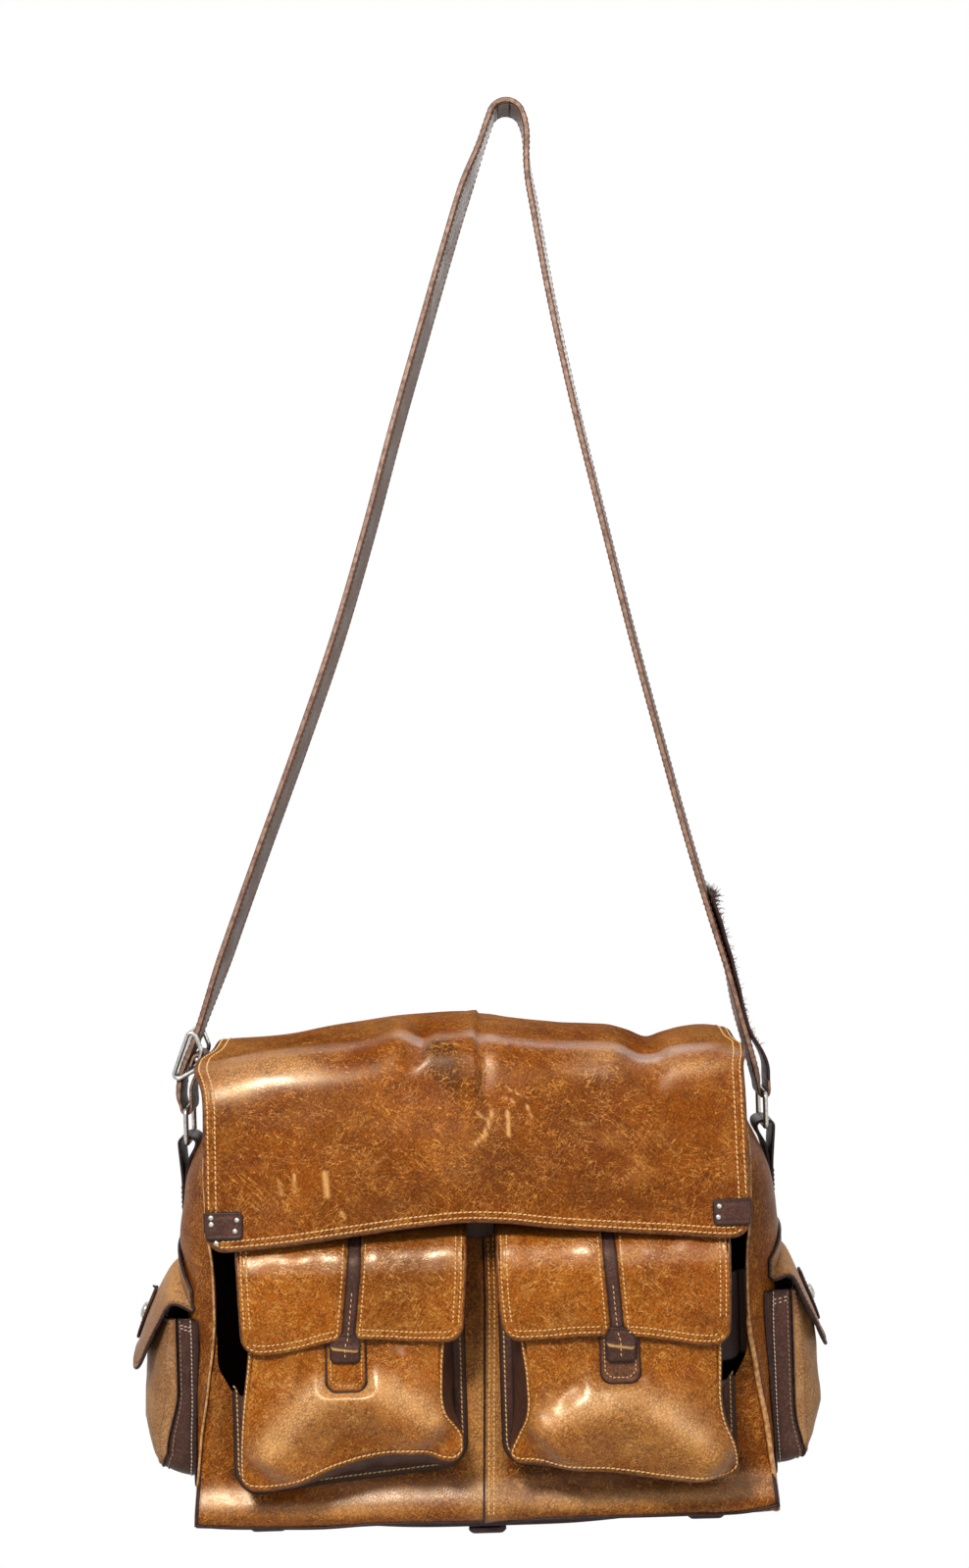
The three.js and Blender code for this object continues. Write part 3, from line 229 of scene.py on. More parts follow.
def leather(name, base, dark, light, red, gloss=0.36, grain=1.0, hair=0.6, burnish=0.6, mottle=1.0, level=0.14,
            painted=False):
    """Waxed leather: cloudy tones, a dense grain, fine pale creases and burnished rims; the points' tone and
    wear-and-highlight marks add painted shade, down to black, and painted highlights.
    """
    sh = Shader(name)
    rest = sh.attribute("rest", 1)
    wear, rim, tone, shine = (sh.attribute(key, 2) for key in ("wear", "edge", "tone", "shine"))
    base, dark, light, red = map(linear, (base, dark, light, red))
    cloud = sh.noise(rest, 9.0, 3.0, 0.55)
    patch = sh.noise(sh.turned(rest, shift=(3.1, 1.7, 0.4)), 42.0, 2.0, 0.5, 0.5)
    blush = sh.noise(sh.turned(rest, shift=(7.3, 2.2, 5.1)), 16.0, 3.0, 0.55)
    fleck = sh.noise(rest, 620.0, 2.0, 0.7)
    colour = sh.mix(sh.span(cloud, 0.38, 0.68, 0.0, 0.5 * mottle), base, dark)
    colour = sh.mix(sh.span(blush, 0.48, 0.72, 0.0, 0.5 * mottle), colour, red)
    colour = sh.mix(sh.span(patch, 0.5, 0.8, 0.0, 0.22 * mottle), colour, light)
    # A positive tone darkens towards the dark colour: the leather's own darker tone, and painted shade. A negative tone
    # lightens towards a pale colour, which is painted highlight.
    colour = sh.mix(sh.span(tone, 0.0, 1.0, 0.0, 0.85), colour, dark)
    colour = sh.mix(sh.span(sh.math("MULTIPLY", tone, -1.0), 0.0, 1.0, 0.0, 0.6), colour, linear((216, 158, 94)))
    grained = sh.add("Mapping", {"Vector": rest, "Rotation": (0.2, 0.7, 0.3), "Scale": (1.0, 1.0, 1.7)},
                     vector_type="TEXTURE")
    cells = sh.add("TexVoronoi", {"Vector": grained, "Scale": 560.0, "Randomness": 1.0},
                   feature="DISTANCE_TO_EDGE")
    uneven = sh.noise(sh.turned(rest, shift=(5.0, 2.0, 1.0)), 95.0, 2.0)
    veins = sh.math("MULTIPLY", sh.span(cells, 0.0, 0.24, 1.0, 0.0), sh.span(uneven, 0.35, 0.62, 0.6, 1.0))
    colour = sh.mix(sh.math("MULTIPLY", veins, 0.72), colour, dark)
    colour = sh.mix(sh.span(fleck, 0.5, 0.68, 0.0, 0.16), colour, light)
    close = sh.span(rim, 5.0, 17.0, 1.0, 0.0)
    lines = None
    for k, (scale, width, angle, long) in enumerate(((270.0, 0.014, 0.55, 5.2), (240.0, 0.013, -0.8, 5.6),
                                                     (300.0, 0.014, 1.45, 4.8), (180.0, 0.01, -1.3, 5.6),
                                                     (90.0, 0.005, 0.9, 4.6))):
        mask = sh.noise(sh.turned(rest, shift=(1.3 + k, 4.1, 2.2 - 3 * k)), 60.0, 2.0)
        part = sh.math("MULTIPLY", sh.hairs(rest, scale, width, angle, long), sh.span(mask, 0.46, 0.6))
        lines = part if lines is None else sh.math("MAXIMUM", lines, part)
    near = sh.math("MULTIPLY", sh.hairs(rest, 240.0, 0.03, 0.3, 3.0), sh.math("MULTIPLY", close, 0.5))
    lines = sh.math("MAXIMUM", lines, near)
    colour = sh.mix(sh.math("MULTIPLY", lines, hair), colour, light)
    # Pale rubbed scuffs where the wear-and-highlight mark is high; on the pocket ridges and the tab crease this
    # paleness is a painted highlight.
    scuff_and_highlight = sh.math("MULTIPLY", wear, sh.span(sh.noise(sh.turned(rest, scale=(1, 1, 0.4)), 210.0, 3.0), 0.24, 0.5))
    colour = sh.mix(sh.span(scuff_and_highlight, 0.05, 0.9, 0.0, 0.75), colour, linear((222, 166, 100)))
    edge = sh.span(rim, 0.0, 2.0, burnish, 0.0)
    colour = sh.mix(edge, colour, dark)
    # A tone from 1 to 2 is painted shadow, down to black, which also loses its specular below.
    black = sh.span(tone, 1.0, 2.0)
    colour = sh.mix(black, colour, (0.0012, 0.0005, 0.0004, 1.0))
    roughness = sh.math("ADD", sh.span(patch, 0.3, 0.7, gloss - 0.04, gloss + 0.08),
                        sh.span(scuff_and_highlight, 0.1, 0.8, 0.0, 0.2))
    roughness = sh.math("SUBTRACT", roughness, sh.math("MULTIPLY", shine, 0.06))
    roughness = sh.math("MAXIMUM", sh.math("ADD", roughness, sh.math("MULTIPLY", lines, 0.1)), 0.2)
    pores = sh.noise(rest, 1300.0, 2.0, 0.6)
    bumps = [(sh.noise(rest, 60.0, 3.0, 0.5), 0.12 * grain, 0.0014), (lines, 0.3 * grain, 0.0002),
             (cells, 0.22 * grain, 0.0003), (pores, 0.1 * grain, 0.0002)]
    gleam = level
    if painted:
        gleam = sh.math("MULTIPLY", sh.span(black, 0.0, 1.0, level, 0.0), sh.span(shine, 0.0, 1.0, 1.0, 6.0))
        gleam = sh.math("MULTIPLY", gleam, sh.span(shine, -1.0, 0.0))
    return sh.finish(colour, roughness, bumps, Specular_IOR_Level=gleam, Specular_Tint=(1.0, 0.78, 0.54, 1.0))


def plain(name, colour, other, roughness, size, bump=0.3, depth=0.0003, **constants):
    """A quiet surface: one noise for tone, roughness and relief."""
    sh = Shader(name)
    rest = sh.attribute("rest", 1)
    field = sh.noise(rest, size, 4.0, 0.6)
    tone = sh.mix(sh.span(field, 0.35, 0.65), linear(colour), linear(other))
    return sh.finish(tone, sh.span(field, 0.3, 0.7, roughness - 0.06, roughness + 0.08),
                     [(field, bump, depth)], **constants)


def woven(name, colour, other):
    """Plain-woven lining cloth."""
    sh = Shader(name)
    rest = sh.attribute("rest", 1)
    bands = [sh.add("TexWave", {"Vector": sh.turned(rest, angles), "Scale": 320.0, "Distortion": 0.6,
                                "Detail": 1.0}, out=1, wave_type="BANDS", bands_direction=way)
             for way, angles in (("X", (0, 0, 0.785)), ("Z", (0, 0, 0)))]
    weave = sh.math("MULTIPLY", *bands)
    tone = sh.mix(weave, linear(colour), linear(other))
    cloud = sh.noise(rest, 25.0)
    return sh.finish(sh.mix(sh.span(cloud, 0.4, 0.7, 0.0, 0.3), tone, linear(colour)), 0.85,
                     [(weave, 0.5, 0.0004)], Sheen_Weight=0.2)


TAN = leather("tan_leather", (134, 67, 8), (58, 24, 5), (200, 132, 58), (110, 45, 10), hair=0.85,
              painted=True)
TAN_POCKET = leather("tan_pocket", (158, 84, 18), (72, 32, 9), (222, 162, 80), (130, 56, 18), gloss=0.34,
                     painted=True)
TAN_SIDE = leather("tan_side", (160, 112, 68), (100, 64, 36), (220, 178, 128), (134, 84, 52), gloss=0.46, hair=0.4,
                   level=0.25)
DARK = leather("dark_leather", (68, 40, 35), (32, 17, 16), (122, 88, 78), (74, 36, 36), gloss=0.42, hair=0.3,
               burnish=0.9, level=0.3, painted=True)
STRAP = leather("strap_leather", (98, 66, 51), (54, 34, 26), (156, 118, 92), (94, 52, 41), gloss=0.45,
                hair=0.35, burnish=0.3, level=0.3)
BLACK = leather("black_leather", (34, 24, 24), (16, 12, 13), (76, 62, 60), (40, 24, 26), gloss=0.45, hair=0.2,
                burnish=0.3, level=0.3)
RIM_TAN = plain("rim_tan", (112, 66, 34), (72, 40, 20), 0.5, 300.0, Specular_IOR_Level=0.2)
RIM_PALE = plain("rim_pale", (206, 156, 104), (150, 98, 54), 0.5, 300.0, Specular_IOR_Level=0.2)
RIM_DARK = plain("rim_dark", (30, 18, 17), (54, 34, 31), 0.45, 300.0, Specular_IOR_Level=0.2)
SUEDE = plain("suede", (140, 98, 62), (104, 70, 44), 0.88, 500.0, 0.6, 0.0006, Sheen_Weight=0.2)
SUEDE_DARK = plain("suede_dark", (46, 32, 28), (30, 21, 19), 0.9, 500.0, 0.6, 0.0006, Sheen_Weight=0.1)
THREAD = plain("thread", (226, 184, 120), (190, 142, 84), 0.62, 2200.0, 0.6, 0.0002)
THREAD_PALE = plain("thread_pale", (214, 196, 176), (176, 150, 130), 0.62, 2200.0, 0.6, 0.0002)
THREAD_DARK = plain("thread_worn", (142, 106, 78), (110, 78, 56), 0.65, 2200.0, 0.6, 0.0002)
NICKEL = plain("nickel", (196, 194, 188), (160, 158, 152), 0.3, 420.0, 0.15, 0.0002, Metallic=1.0)
BOARD = plain("board", (62, 56, 52), (48, 43, 40), 0.8, 400.0)
CLOTH = woven("lining_cloth", (96, 78, 58), (128, 106, 80))


# Meshes


def paint(mesh, **layers):
    """Gives the points their distance to the rim, their wear and painted highlights, their tone with painted shade and
    painted highlights, and how polished they are.
    """
    for key, plain_value in (("edge", 9.0), ("wear", 0.0), ("tone", 0.0), ("shine", 0.0)):
        values = layers.get(key)
        if values is None:
            values = plain_value
        layer = mesh.attributes.new(key, "FLOAT", "POINT")
        layer.data.foreach_set("value", np.broadcast_to(np.float32(values), (len(mesh.vertices),)).ravel())


def build(name, points, faces, looks, slots=None, **attributes):
    points = np.asarray(points, float)
    mesh = bpy.data.meshes.new(name)
    faces = [list(map(int, f)) for f in faces]
    origin = points.mean(0)
    volume = 0.0
    for f in faces:
        a = points[f[0]] - origin
        for b, c in zip(f[1:-1], f[2:]):
            volume += a @ np.cross(points[b] - origin, points[c] - origin)
    if volume < 0:
        faces = [f[::-1] for f in faces]
    mesh.from_pydata(world(points).tolist(), [], faces)
    for look in looks:
        mesh.materials.append(look)
    if slots is not None:
        mesh.polygons.foreach_set("material_index", np.asarray(slots, np.int32))
    mesh.polygons.foreach_set("use_smooth", np.ones(len(faces), bool))
    rest = mesh.attributes.new("rest", "FLOAT_VECTOR", "POINT")
    rest.data.foreach_set("vector", (points / 1000).astype(np.float32).ravel())
    paint(mesh, **attributes)
    mesh.update()
    piece = bpy.data.objects.new(name, mesh)
    bpy.context.scene.collection.objects.link(piece)
    return piece


def carry(piece, place):
    """Place is a body's name, to which the piece is attached; with a (body, body, start, end) place the piece is only
    baked where it lies.
    """
    if isinstance(place, str):
        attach(piece, place)
    else:
        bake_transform(piece)
    return piece


def dress(piece, place, replaces=()):
    carry(piece, place)
    if replaces:
        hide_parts(*replaces)
    return piece


def grid_normals(grid, facing=None, centre=None):
    normal = unit(np.cross(np.gradient(grid, axis=0), np.gradient(grid, axis=1)))
    outward = np.asarray(facing, float) if facing is not None else grid - np.asarray(centre, float)
    return normal if (normal * outward).sum() > 0 else -normal


def rim_distance(grid):
    def both(axis):
        steps = np.linalg.norm(np.diff(grid, axis=axis), axis=-1)
        zero = np.zeros_like(np.take(steps, [0], axis=axis))
        run = np.concatenate([zero, np.cumsum(steps, axis=axis)], axis=axis)
        return np.minimum(run, np.take(run, [-1], axis=axis) - run)
    return np.minimum(both(0), both(1))


def sheet(name, grid, thick, looks, facing=None, centre=None, grooves=(), depth=0.5, **painted):
    """A sheet of leather inward from a grid of outer points, with a rounded rim and pressed stitch grooves."""
    rows, columns = grid.shape[:2]
    normal = grid_normals(grid, facing, centre)
    edge = rim_distance(grid)
    press = sum((np.exp(-((edge - at) / 1.1) ** 2) for at in grooves), np.zeros_like(edge))
    grid = grid - normal * (press * depth)[..., None]
    back = grid - normal * np.broadcast_to(np.asarray(thick, float), edge.shape)[..., None]
    index = np.arange(rows * columns).reshape(rows, columns)
    loop = np.concatenate([index[0], index[1:, -1], index[-1, -2::-1], index[-2:0:-1, 0]])
    flat, flat_normal = grid.reshape(-1, 3), normal.reshape(-1, 3)
    flat_back = back.reshape(-1, 3)
    outer, inner, up = flat[loop], flat_back[loop], flat_normal[loop]
    inside = np.clip(np.stack(np.unravel_index(loop, (rows, columns)), 1), 1, [rows - 2, columns - 2])
    away = unit(np.cross(np.roll(outer, -1, 0) - np.roll(outer, 1, 0), up))
    if (away * (outer - grid[inside[:, 0], inside[:, 1]])).sum() < 0:
        away = -away
    middle = (outer + inner) / 2
    half = np.linalg.norm(outer - inner, axis=1)[:, None] / 2
    rings = [middle + half * (math.cos(a) * up + math.sin(a) * away) for a in np.radians([38, 90, 142])]
    points = np.concatenate([flat, flat_back, *rings])
    a, b = index[:-1, :-1].ravel(), index[1:, :-1].ravel()
    c, d = index[1:, 1:].ravel(), index[:-1, 1:].ravel()
    face = np.stack([a, b, c, d], 1)
    other = rows * columns
    under = np.stack([a, d, c, b], 1) + other
    count = len(loop)
    levels = [loop, *(2 * other + k * count + np.arange(count) for k in range(3)), loop + other]
    strips = [np.stack([p, np.roll(p, -1), np.roll(q, -1), q], 1) for p, q in zip(levels[:-1], levels[1:])]
    rim = np.concatenate(strips)
    mesh_faces = np.concatenate([face, under, rim])
    flip = grid_flip(flat, face, flat_normal)
    rim_flip = grid_flip(points, rim, None, middle, np.concatenate([np.arange(count)] * 4))
    if flip:
        mesh_faces[:len(face)] = mesh_faces[:len(face), ::-1]
        mesh_faces[len(face):2 * len(face)] = mesh_faces[len(face):2 * len(face), ::-1]
    if rim_flip:
        mesh_faces[2 * len(face):] = mesh_faces[2 * len(face):, ::-1]
    slots = np.concatenate([np.zeros(len(face)), np.full(len(under), 2), np.ones(len(rim))])
    edges = np.concatenate([edge.ravel(), np.full(other, 9.0), np.zeros(3 * count)])
    marks = {}
    for key, value in painted.items():
        marks[key] = np.zeros(len(points))
        marks[key][:other] = np.broadcast_to(value, edge.shape).ravel()
        marks[key][2 * other:] = np.tile(marks[key][:other][loop], 3)
    return raw_piece(name, points, mesh_faces, looks, slots, edges, marks)


def grid_flip(points, faces, normals, middle=None, order=None):
    """True if the faces turn away from the way they should look."""
    a, b, c = (points[faces[:, k]] for k in range(3))
    turn = np.cross(b - a, c - a)
    if normals is not None:
        return (turn * normals[faces[:, 0]]).sum() < 0
    return (turn * (a - middle[order])).sum() < 0


def raw_piece(name, points, faces, looks, slots, edges, marks):
    mesh = bpy.data.meshes.new(name)
    mesh.from_pydata(world(points).tolist(), [], faces.tolist())
    for look in looks:
        mesh.materials.append(look)
    mesh.polygons.foreach_set("material_index", np.asarray(slots, np.int32))
    mesh.polygons.foreach_set("use_smooth", np.ones(len(faces), bool))
    layer = mesh.attributes.new("rest", "FLOAT_VECTOR", "POINT")
    layer.data.foreach_set("vector", (points / 1000).astype(np.float32).ravel())
    paint(mesh, edge=edges, **marks)
    mesh.update()
    piece = bpy.data.objects.new(name, mesh)
    bpy.context.scene.collection.objects.link(piece)
    return piece


def spread(length, step, fine=True):
    """Places from 0 to length, close together near both ends."""
    ends = [0, 1, 2, 3, 4, 5.2, 6.6, 8.4] if fine and length > 40 else [0]
    start, stop = ends[-1], length - ends[-1]
    middle = np.linspace(start, stop, max(int((stop - start) / step), 1) + 1)
    return np.concatenate([ends[:-1], middle, [length - e for e in ends[-2::-1]]])


def rounded(low, high, corner, step, count=7):
    """Places from low to high, close together in the corners at both ends."""
    turn = corner * (1 - np.cos(np.linspace(0, math.pi / 2, count)))
    middle = np.linspace(low + corner, high - corner, max(int((high - low - 2 * corner) / step), 1) + 1)
    return np.concatenate([low + turn[:-1], middle, (high - turn[:-1])[::-1]])


def corner_rise(place, low, high, corner):
    margin = np.clip(np.minimum(place - low, high - place), 0, corner)
    return corner - np.sqrt(np.maximum(corner**2 - (corner - margin) ** 2, 0))


def section(sides, flatten=1.0):
    angles = np.arange(sides) * 2 * math.pi / sides
    return np.stack([np.cos(angles), np.sin(angles) * flatten], 1)


def threads(name, runs, place, look=THREAD, pitch=3.3, length=2.9, radius=0.56, sides=6):
    """Stitches along runs of (points, normals): short bent strands that dip in at both ends."""
    stations = np.array([-0.5, -0.36, 0.0, 0.36, 0.5])
    girth = np.array([0.35, 0.85, 1.0, 0.85, 0.35])
    lift = np.array([-0.75, 0.1, 0.35, 0.1, -0.75])
    ring = section(sides, 0.8)
    template = []
    for at, wide, high in zip(stations, girth, lift):
        for across, up in ring:
            template.append([at * length, across * radius * wide, (up * wide + high) * radius])
    template = np.array(template)
    faces = []
    for k in range(len(stations) - 1):
        for s in range(sides):
            t = (s + 1) % sides
            faces.append([k * sides + s, k * sides + t, (k + 1) * sides + t, (k + 1) * sides + s])
    size = len(template)
    last = (len(stations) - 1) * sides
    ends = [list(range(sides))[::-1], [last + s for s in range(sides)]]
    points, all_faces = [], []
    for run, normals in runs:
        run, normals = np.asarray(run, float), unit(np.asarray(normals, float))
        lengths = np.concatenate([[0], np.cumsum(np.linalg.norm(np.diff(run, axis=0), axis=1))])
        count = max(int(lengths[-1] / pitch), 1)
        at = (np.arange(count) + 0.5) * lengths[-1] / count
        centre = np.stack([np.interp(at, lengths, c) for c in run.T], 1)
        ahead = np.stack([np.interp(at + 0.8, lengths, c) for c in run.T], 1)
        behind = np.stack([np.interp(at - 0.8, lengths, c) for c in run.T], 1)
        up = unit(np.stack([np.interp(at, lengths, c) for c in normals.T], 1))
        along = unit(ahead - behind)
        side = unit(np.cross(up, along))
        tilted = unit(along + 0.16 * side)
        side = unit(np.cross(up, tilted))
        whole = (centre[:, None] + template[None, :, :1] * tilted[:, None]
                 + template[None, :, 1:2] * side[:, None] + template[None, :, 2:] * up[:, None])
        for strand in whole:
            start = len(points) * size
            points.append(strand)
            all_faces += [[start + v for v in f] for f in faces]
            all_faces += [[start + v for v in f] for f in ends]
    points = np.concatenate(points)
    piece = build(name, points, all_faces, [look])
    return dress(piece, place)


def tube(name, path, radius, look, closed=False, sides=10, flatten=1.0, up=(0, 1, 0)):
    path = np.asarray(path, float)
    if closed:
        along = unit(np.roll(path, -1, 0) - np.roll(path, 1, 0))
    else:
        along = unit(np.gradient(path, axis=0))
    side = unit(np.cross(along, np.asarray(up, float)))
    other = unit(np.cross(side, along))
    ring = section(sides)
    radius = np.broadcast_to(np.asarray(radius, float), (len(path),))
    points = (path[:, None] + ring[None, :, :1] * side[:, None] * radius[:, None, None]
              + ring[None, :, 1:] * other[:, None] * radius[:, None, None] * flatten).reshape(-1, 3)
    count = len(path)
    faces = []
    for k in range(count if closed else count - 1):
        n = (k + 1) % count
        for s in range(sides):
            t = (s + 1) % sides
            faces.append([k * sides + s, k * sides + t, n * sides + t, n * sides + s])
    if not closed:
        faces.append(list(range(sides))[::-1])
        faces.append([(count - 1) * sides + s for s in range(sides)])
    return build(name, points, faces, [look])


def lathe(name, profile, centre, axis, look, sides=28):
    """A turned piece: a profile of (radius, height) rows along an axis from its centre."""
    axis = unit(np.asarray(axis, float))
    side = unit(np.cross(axis, [0.3, 0.1, 0.9] if abs(axis[2]) < 0.9 else [1, 0, 0]))
    other = np.cross(axis, side)
    ring = section(sides)
    centre = np.asarray(centre, float)
    points = [centre + axis * profile[0][1]]
    for radius, height in profile[1:-1]:
        for across, up in ring:
            points.append(centre + axis * height + radius * (across * side + up * other))
    points.append(centre + axis * profile[-1][1])
    faces = []
    rings = len(profile) - 2
    for s in range(sides):
        t = (s + 1) % sides
        faces.append([0, 1 + s, 1 + t])
        faces.append([len(points) - 1, 1 + (rings - 1) * sides + t, 1 + (rings - 1) * sides + s])
        for k in range(rings - 1):
            faces.append([1 + k * sides + s, 1 + (k + 1) * sides + s, 1 + (k + 1) * sides + t, 1 + k * sides + t])
    return build(name, points, faces, [look])


def dome(name, centre, axis, radius, height, look=NICKEL):
    turns = np.radians([90, 75, 55, 35, 15])
    profile = [(0, -0.4), (radius * 0.96, -0.4), (radius, 0.0)]
    profile += [(radius * math.sin(a), height * math.cos(a) + 0.15) for a in turns[1:]]
    return lathe(name, [*profile, (0, height + 0.15)], centre, axis, look)


def on(surface, s, t, facing, delta=0.6):
    """Points of a surface and its normals there."""
    s, t = np.broadcast_arrays(np.asarray(s, float), np.asarray(t, float))
    point = surface(s, t)
    across = surface(s + delta, t) - surface(s - delta, t)
    down = surface(s, t + delta) - surface(s, t - delta)
    normal = unit(np.cross(across, down))
    return point, np.where((normal @ np.asarray(facing, float) < 0)[..., None], -normal, normal)


# The forms of the body

PANEL, FLAP, TRIM, PATCH, GAP = 2.5, 3.0, 2.2, 2.0, 0.3
HEIGHT, HALF = 316.0, 200.0
FRONT_SHARES = [(0, 0.99), (0.06, 0.985), (0.13, 0.978), (0.22, 0.962), (0.3, 0.943), (0.38, 0.92), (0.48, 0.908),
                (0.56, 0.915), (0.63, 0.928), (0.75, 0.933), (0.85, 0.923), (1, 0.89)]
CROWN_SHARES = [(0, 1), (0.16, 1.01), (0.38, 1.03), (0.52, 1.046), (0.61, 1.049), (0.68, 1.043), (0.73, 1.028),
                (0.765, 1.007), (0.8, 0.98), (0.84, 0.95), (0.9, 0.915), (1, 0.88)]
FLAP_HALF, HINGE_Y = 181.0, 52.0


def front_edge(z):
    return HALF * smooth_table(FRONT_SHARES, z / HEIGHT)


def gusset_crown(z):
    return HALF * smooth_table(CROWN_SHARES, z / HEIGHT)


def face_y(z):
    return lerp(60.0, 50.0, ease((z - 200) / 116))


def gusset_x(y, z):
    share = np.minimum(np.abs(y) / (face_y(z) - PANEL - GAP), 1)
    return lerp(gusset_crown(z), front_edge(z), share**3.2)


# How deep the ring tabs sit in the gussets
TAB_SEAT = 6.0


def rim_height(x):
    return HEIGHT - 13 * np.abs(x / FLAP_HALF) ** 2


BOTTOM_LINE = [(-202, 5), (-179, 1.5), (-146, -0.6), (-113, -1.6), (-79, 0.2), (0, -0.6), (58, 0.8), (135, 1),
               (176, 2), (199, 7)]


def bottom_z(x):
    return smooth_table(BOTTOM_LINE, x)


def front_surface(x, z):
    """The front wall, which rolls out over the bottom seam."""
    roll = 11.2 * np.exp(-(((z - 8.5) / 16) ** 2)) - 4.5 * np.exp(-np.maximum(z, 0) / 4.5)
    swell = 1.2 * ripples(x, z, 90, 11) * ease(z / 20) * ease((300 - z) / 60)
    y = -face_y(z) - roll - swell * 0.8
    return np.stack(np.broadcast_arrays(x, y, z), -1)


def back_surface(x, z):
    roll = 2.6 * np.exp(-(((z - 24) / 18) ** 2)) - 4.0 * np.exp(-np.maximum(z, 0) / 4.5)
    swell = 1.6 * ripples(x, z, 120, 12) * ease(z / 20) * ease((300 - z) / 60)
    y = face_y(z) + roll + swell
    return np.stack(np.broadcast_arrays(x, y, z), -1)


def seam_x(z):
    return lerp(-1.5, 3.5, np.clip(z / 150, 0, 1))


def wall_grid(surface, low, high, top_at, bottom_at, rows, columns):
    """A grid of a front or back wall between two shares of its width, or from a given x."""
    across = np.linspace(0, 1, columns)[None, :]
    share = spread(300.0, 300.0 / rows)[:, None] / 300
    middle_x = lerp(low(150.0), high(150.0), across)
    top, bottom = top_at(middle_x), bottom_at(middle_x)
    z = lerp(top, bottom, share)
    x = lerp(low(z), high(z), across)
    return surface(x, z)


def front_shade_and_highlights(grid):
    """Painted shade along the seams, under the pockets and under the flap's hem, painted shadow near black beside the
    pockets' upper outer sides, painted highlights on the roll over the bottom and down the middle and left strips, and
    a polish on the roll.
    """
    x, z = grid[..., 0], grid[..., 2]
    off = front_edge(z) - np.abs(x)
    pocket = ease((np.abs(x) - 14) / 6) * ease((182 - np.abs(x)) / 8)
    under = pocket * np.exp(-(((z - 36) / 8.0) ** 2)) * ease((46 - z) / 6)
    tone = 1.0 * np.exp(-((off / 2.4) ** 2)) + 1.0 * under + 0.7 * ease((z - 196) / 8)
    # Painted shadow, near black, beside the upper outer sides of the pockets.
    tone = tone + 2.0 * ease((np.abs(x) - 150) / 10) * ease((z - 140) / 16) * ease((256 - z) / 36)
    roll = np.exp(-(((z - 20) / 9) ** 2))
    # Painted highlights and painted light, taken off the tone so that they lighten it.
    glow = blots(x, z, [(-176, 22, 18, 8, 1.0), (-96, 12, 60, 5, 0.9), (60, 12, 46, 5, 1.0), (130, 16, 40, 5, 0.7),
                        (0, 70, 16, 70, 1.0), (-184, 80, 8, 60, 0.3)])
    return {"tone": tone - glow, "shine": 1.1 * roll}


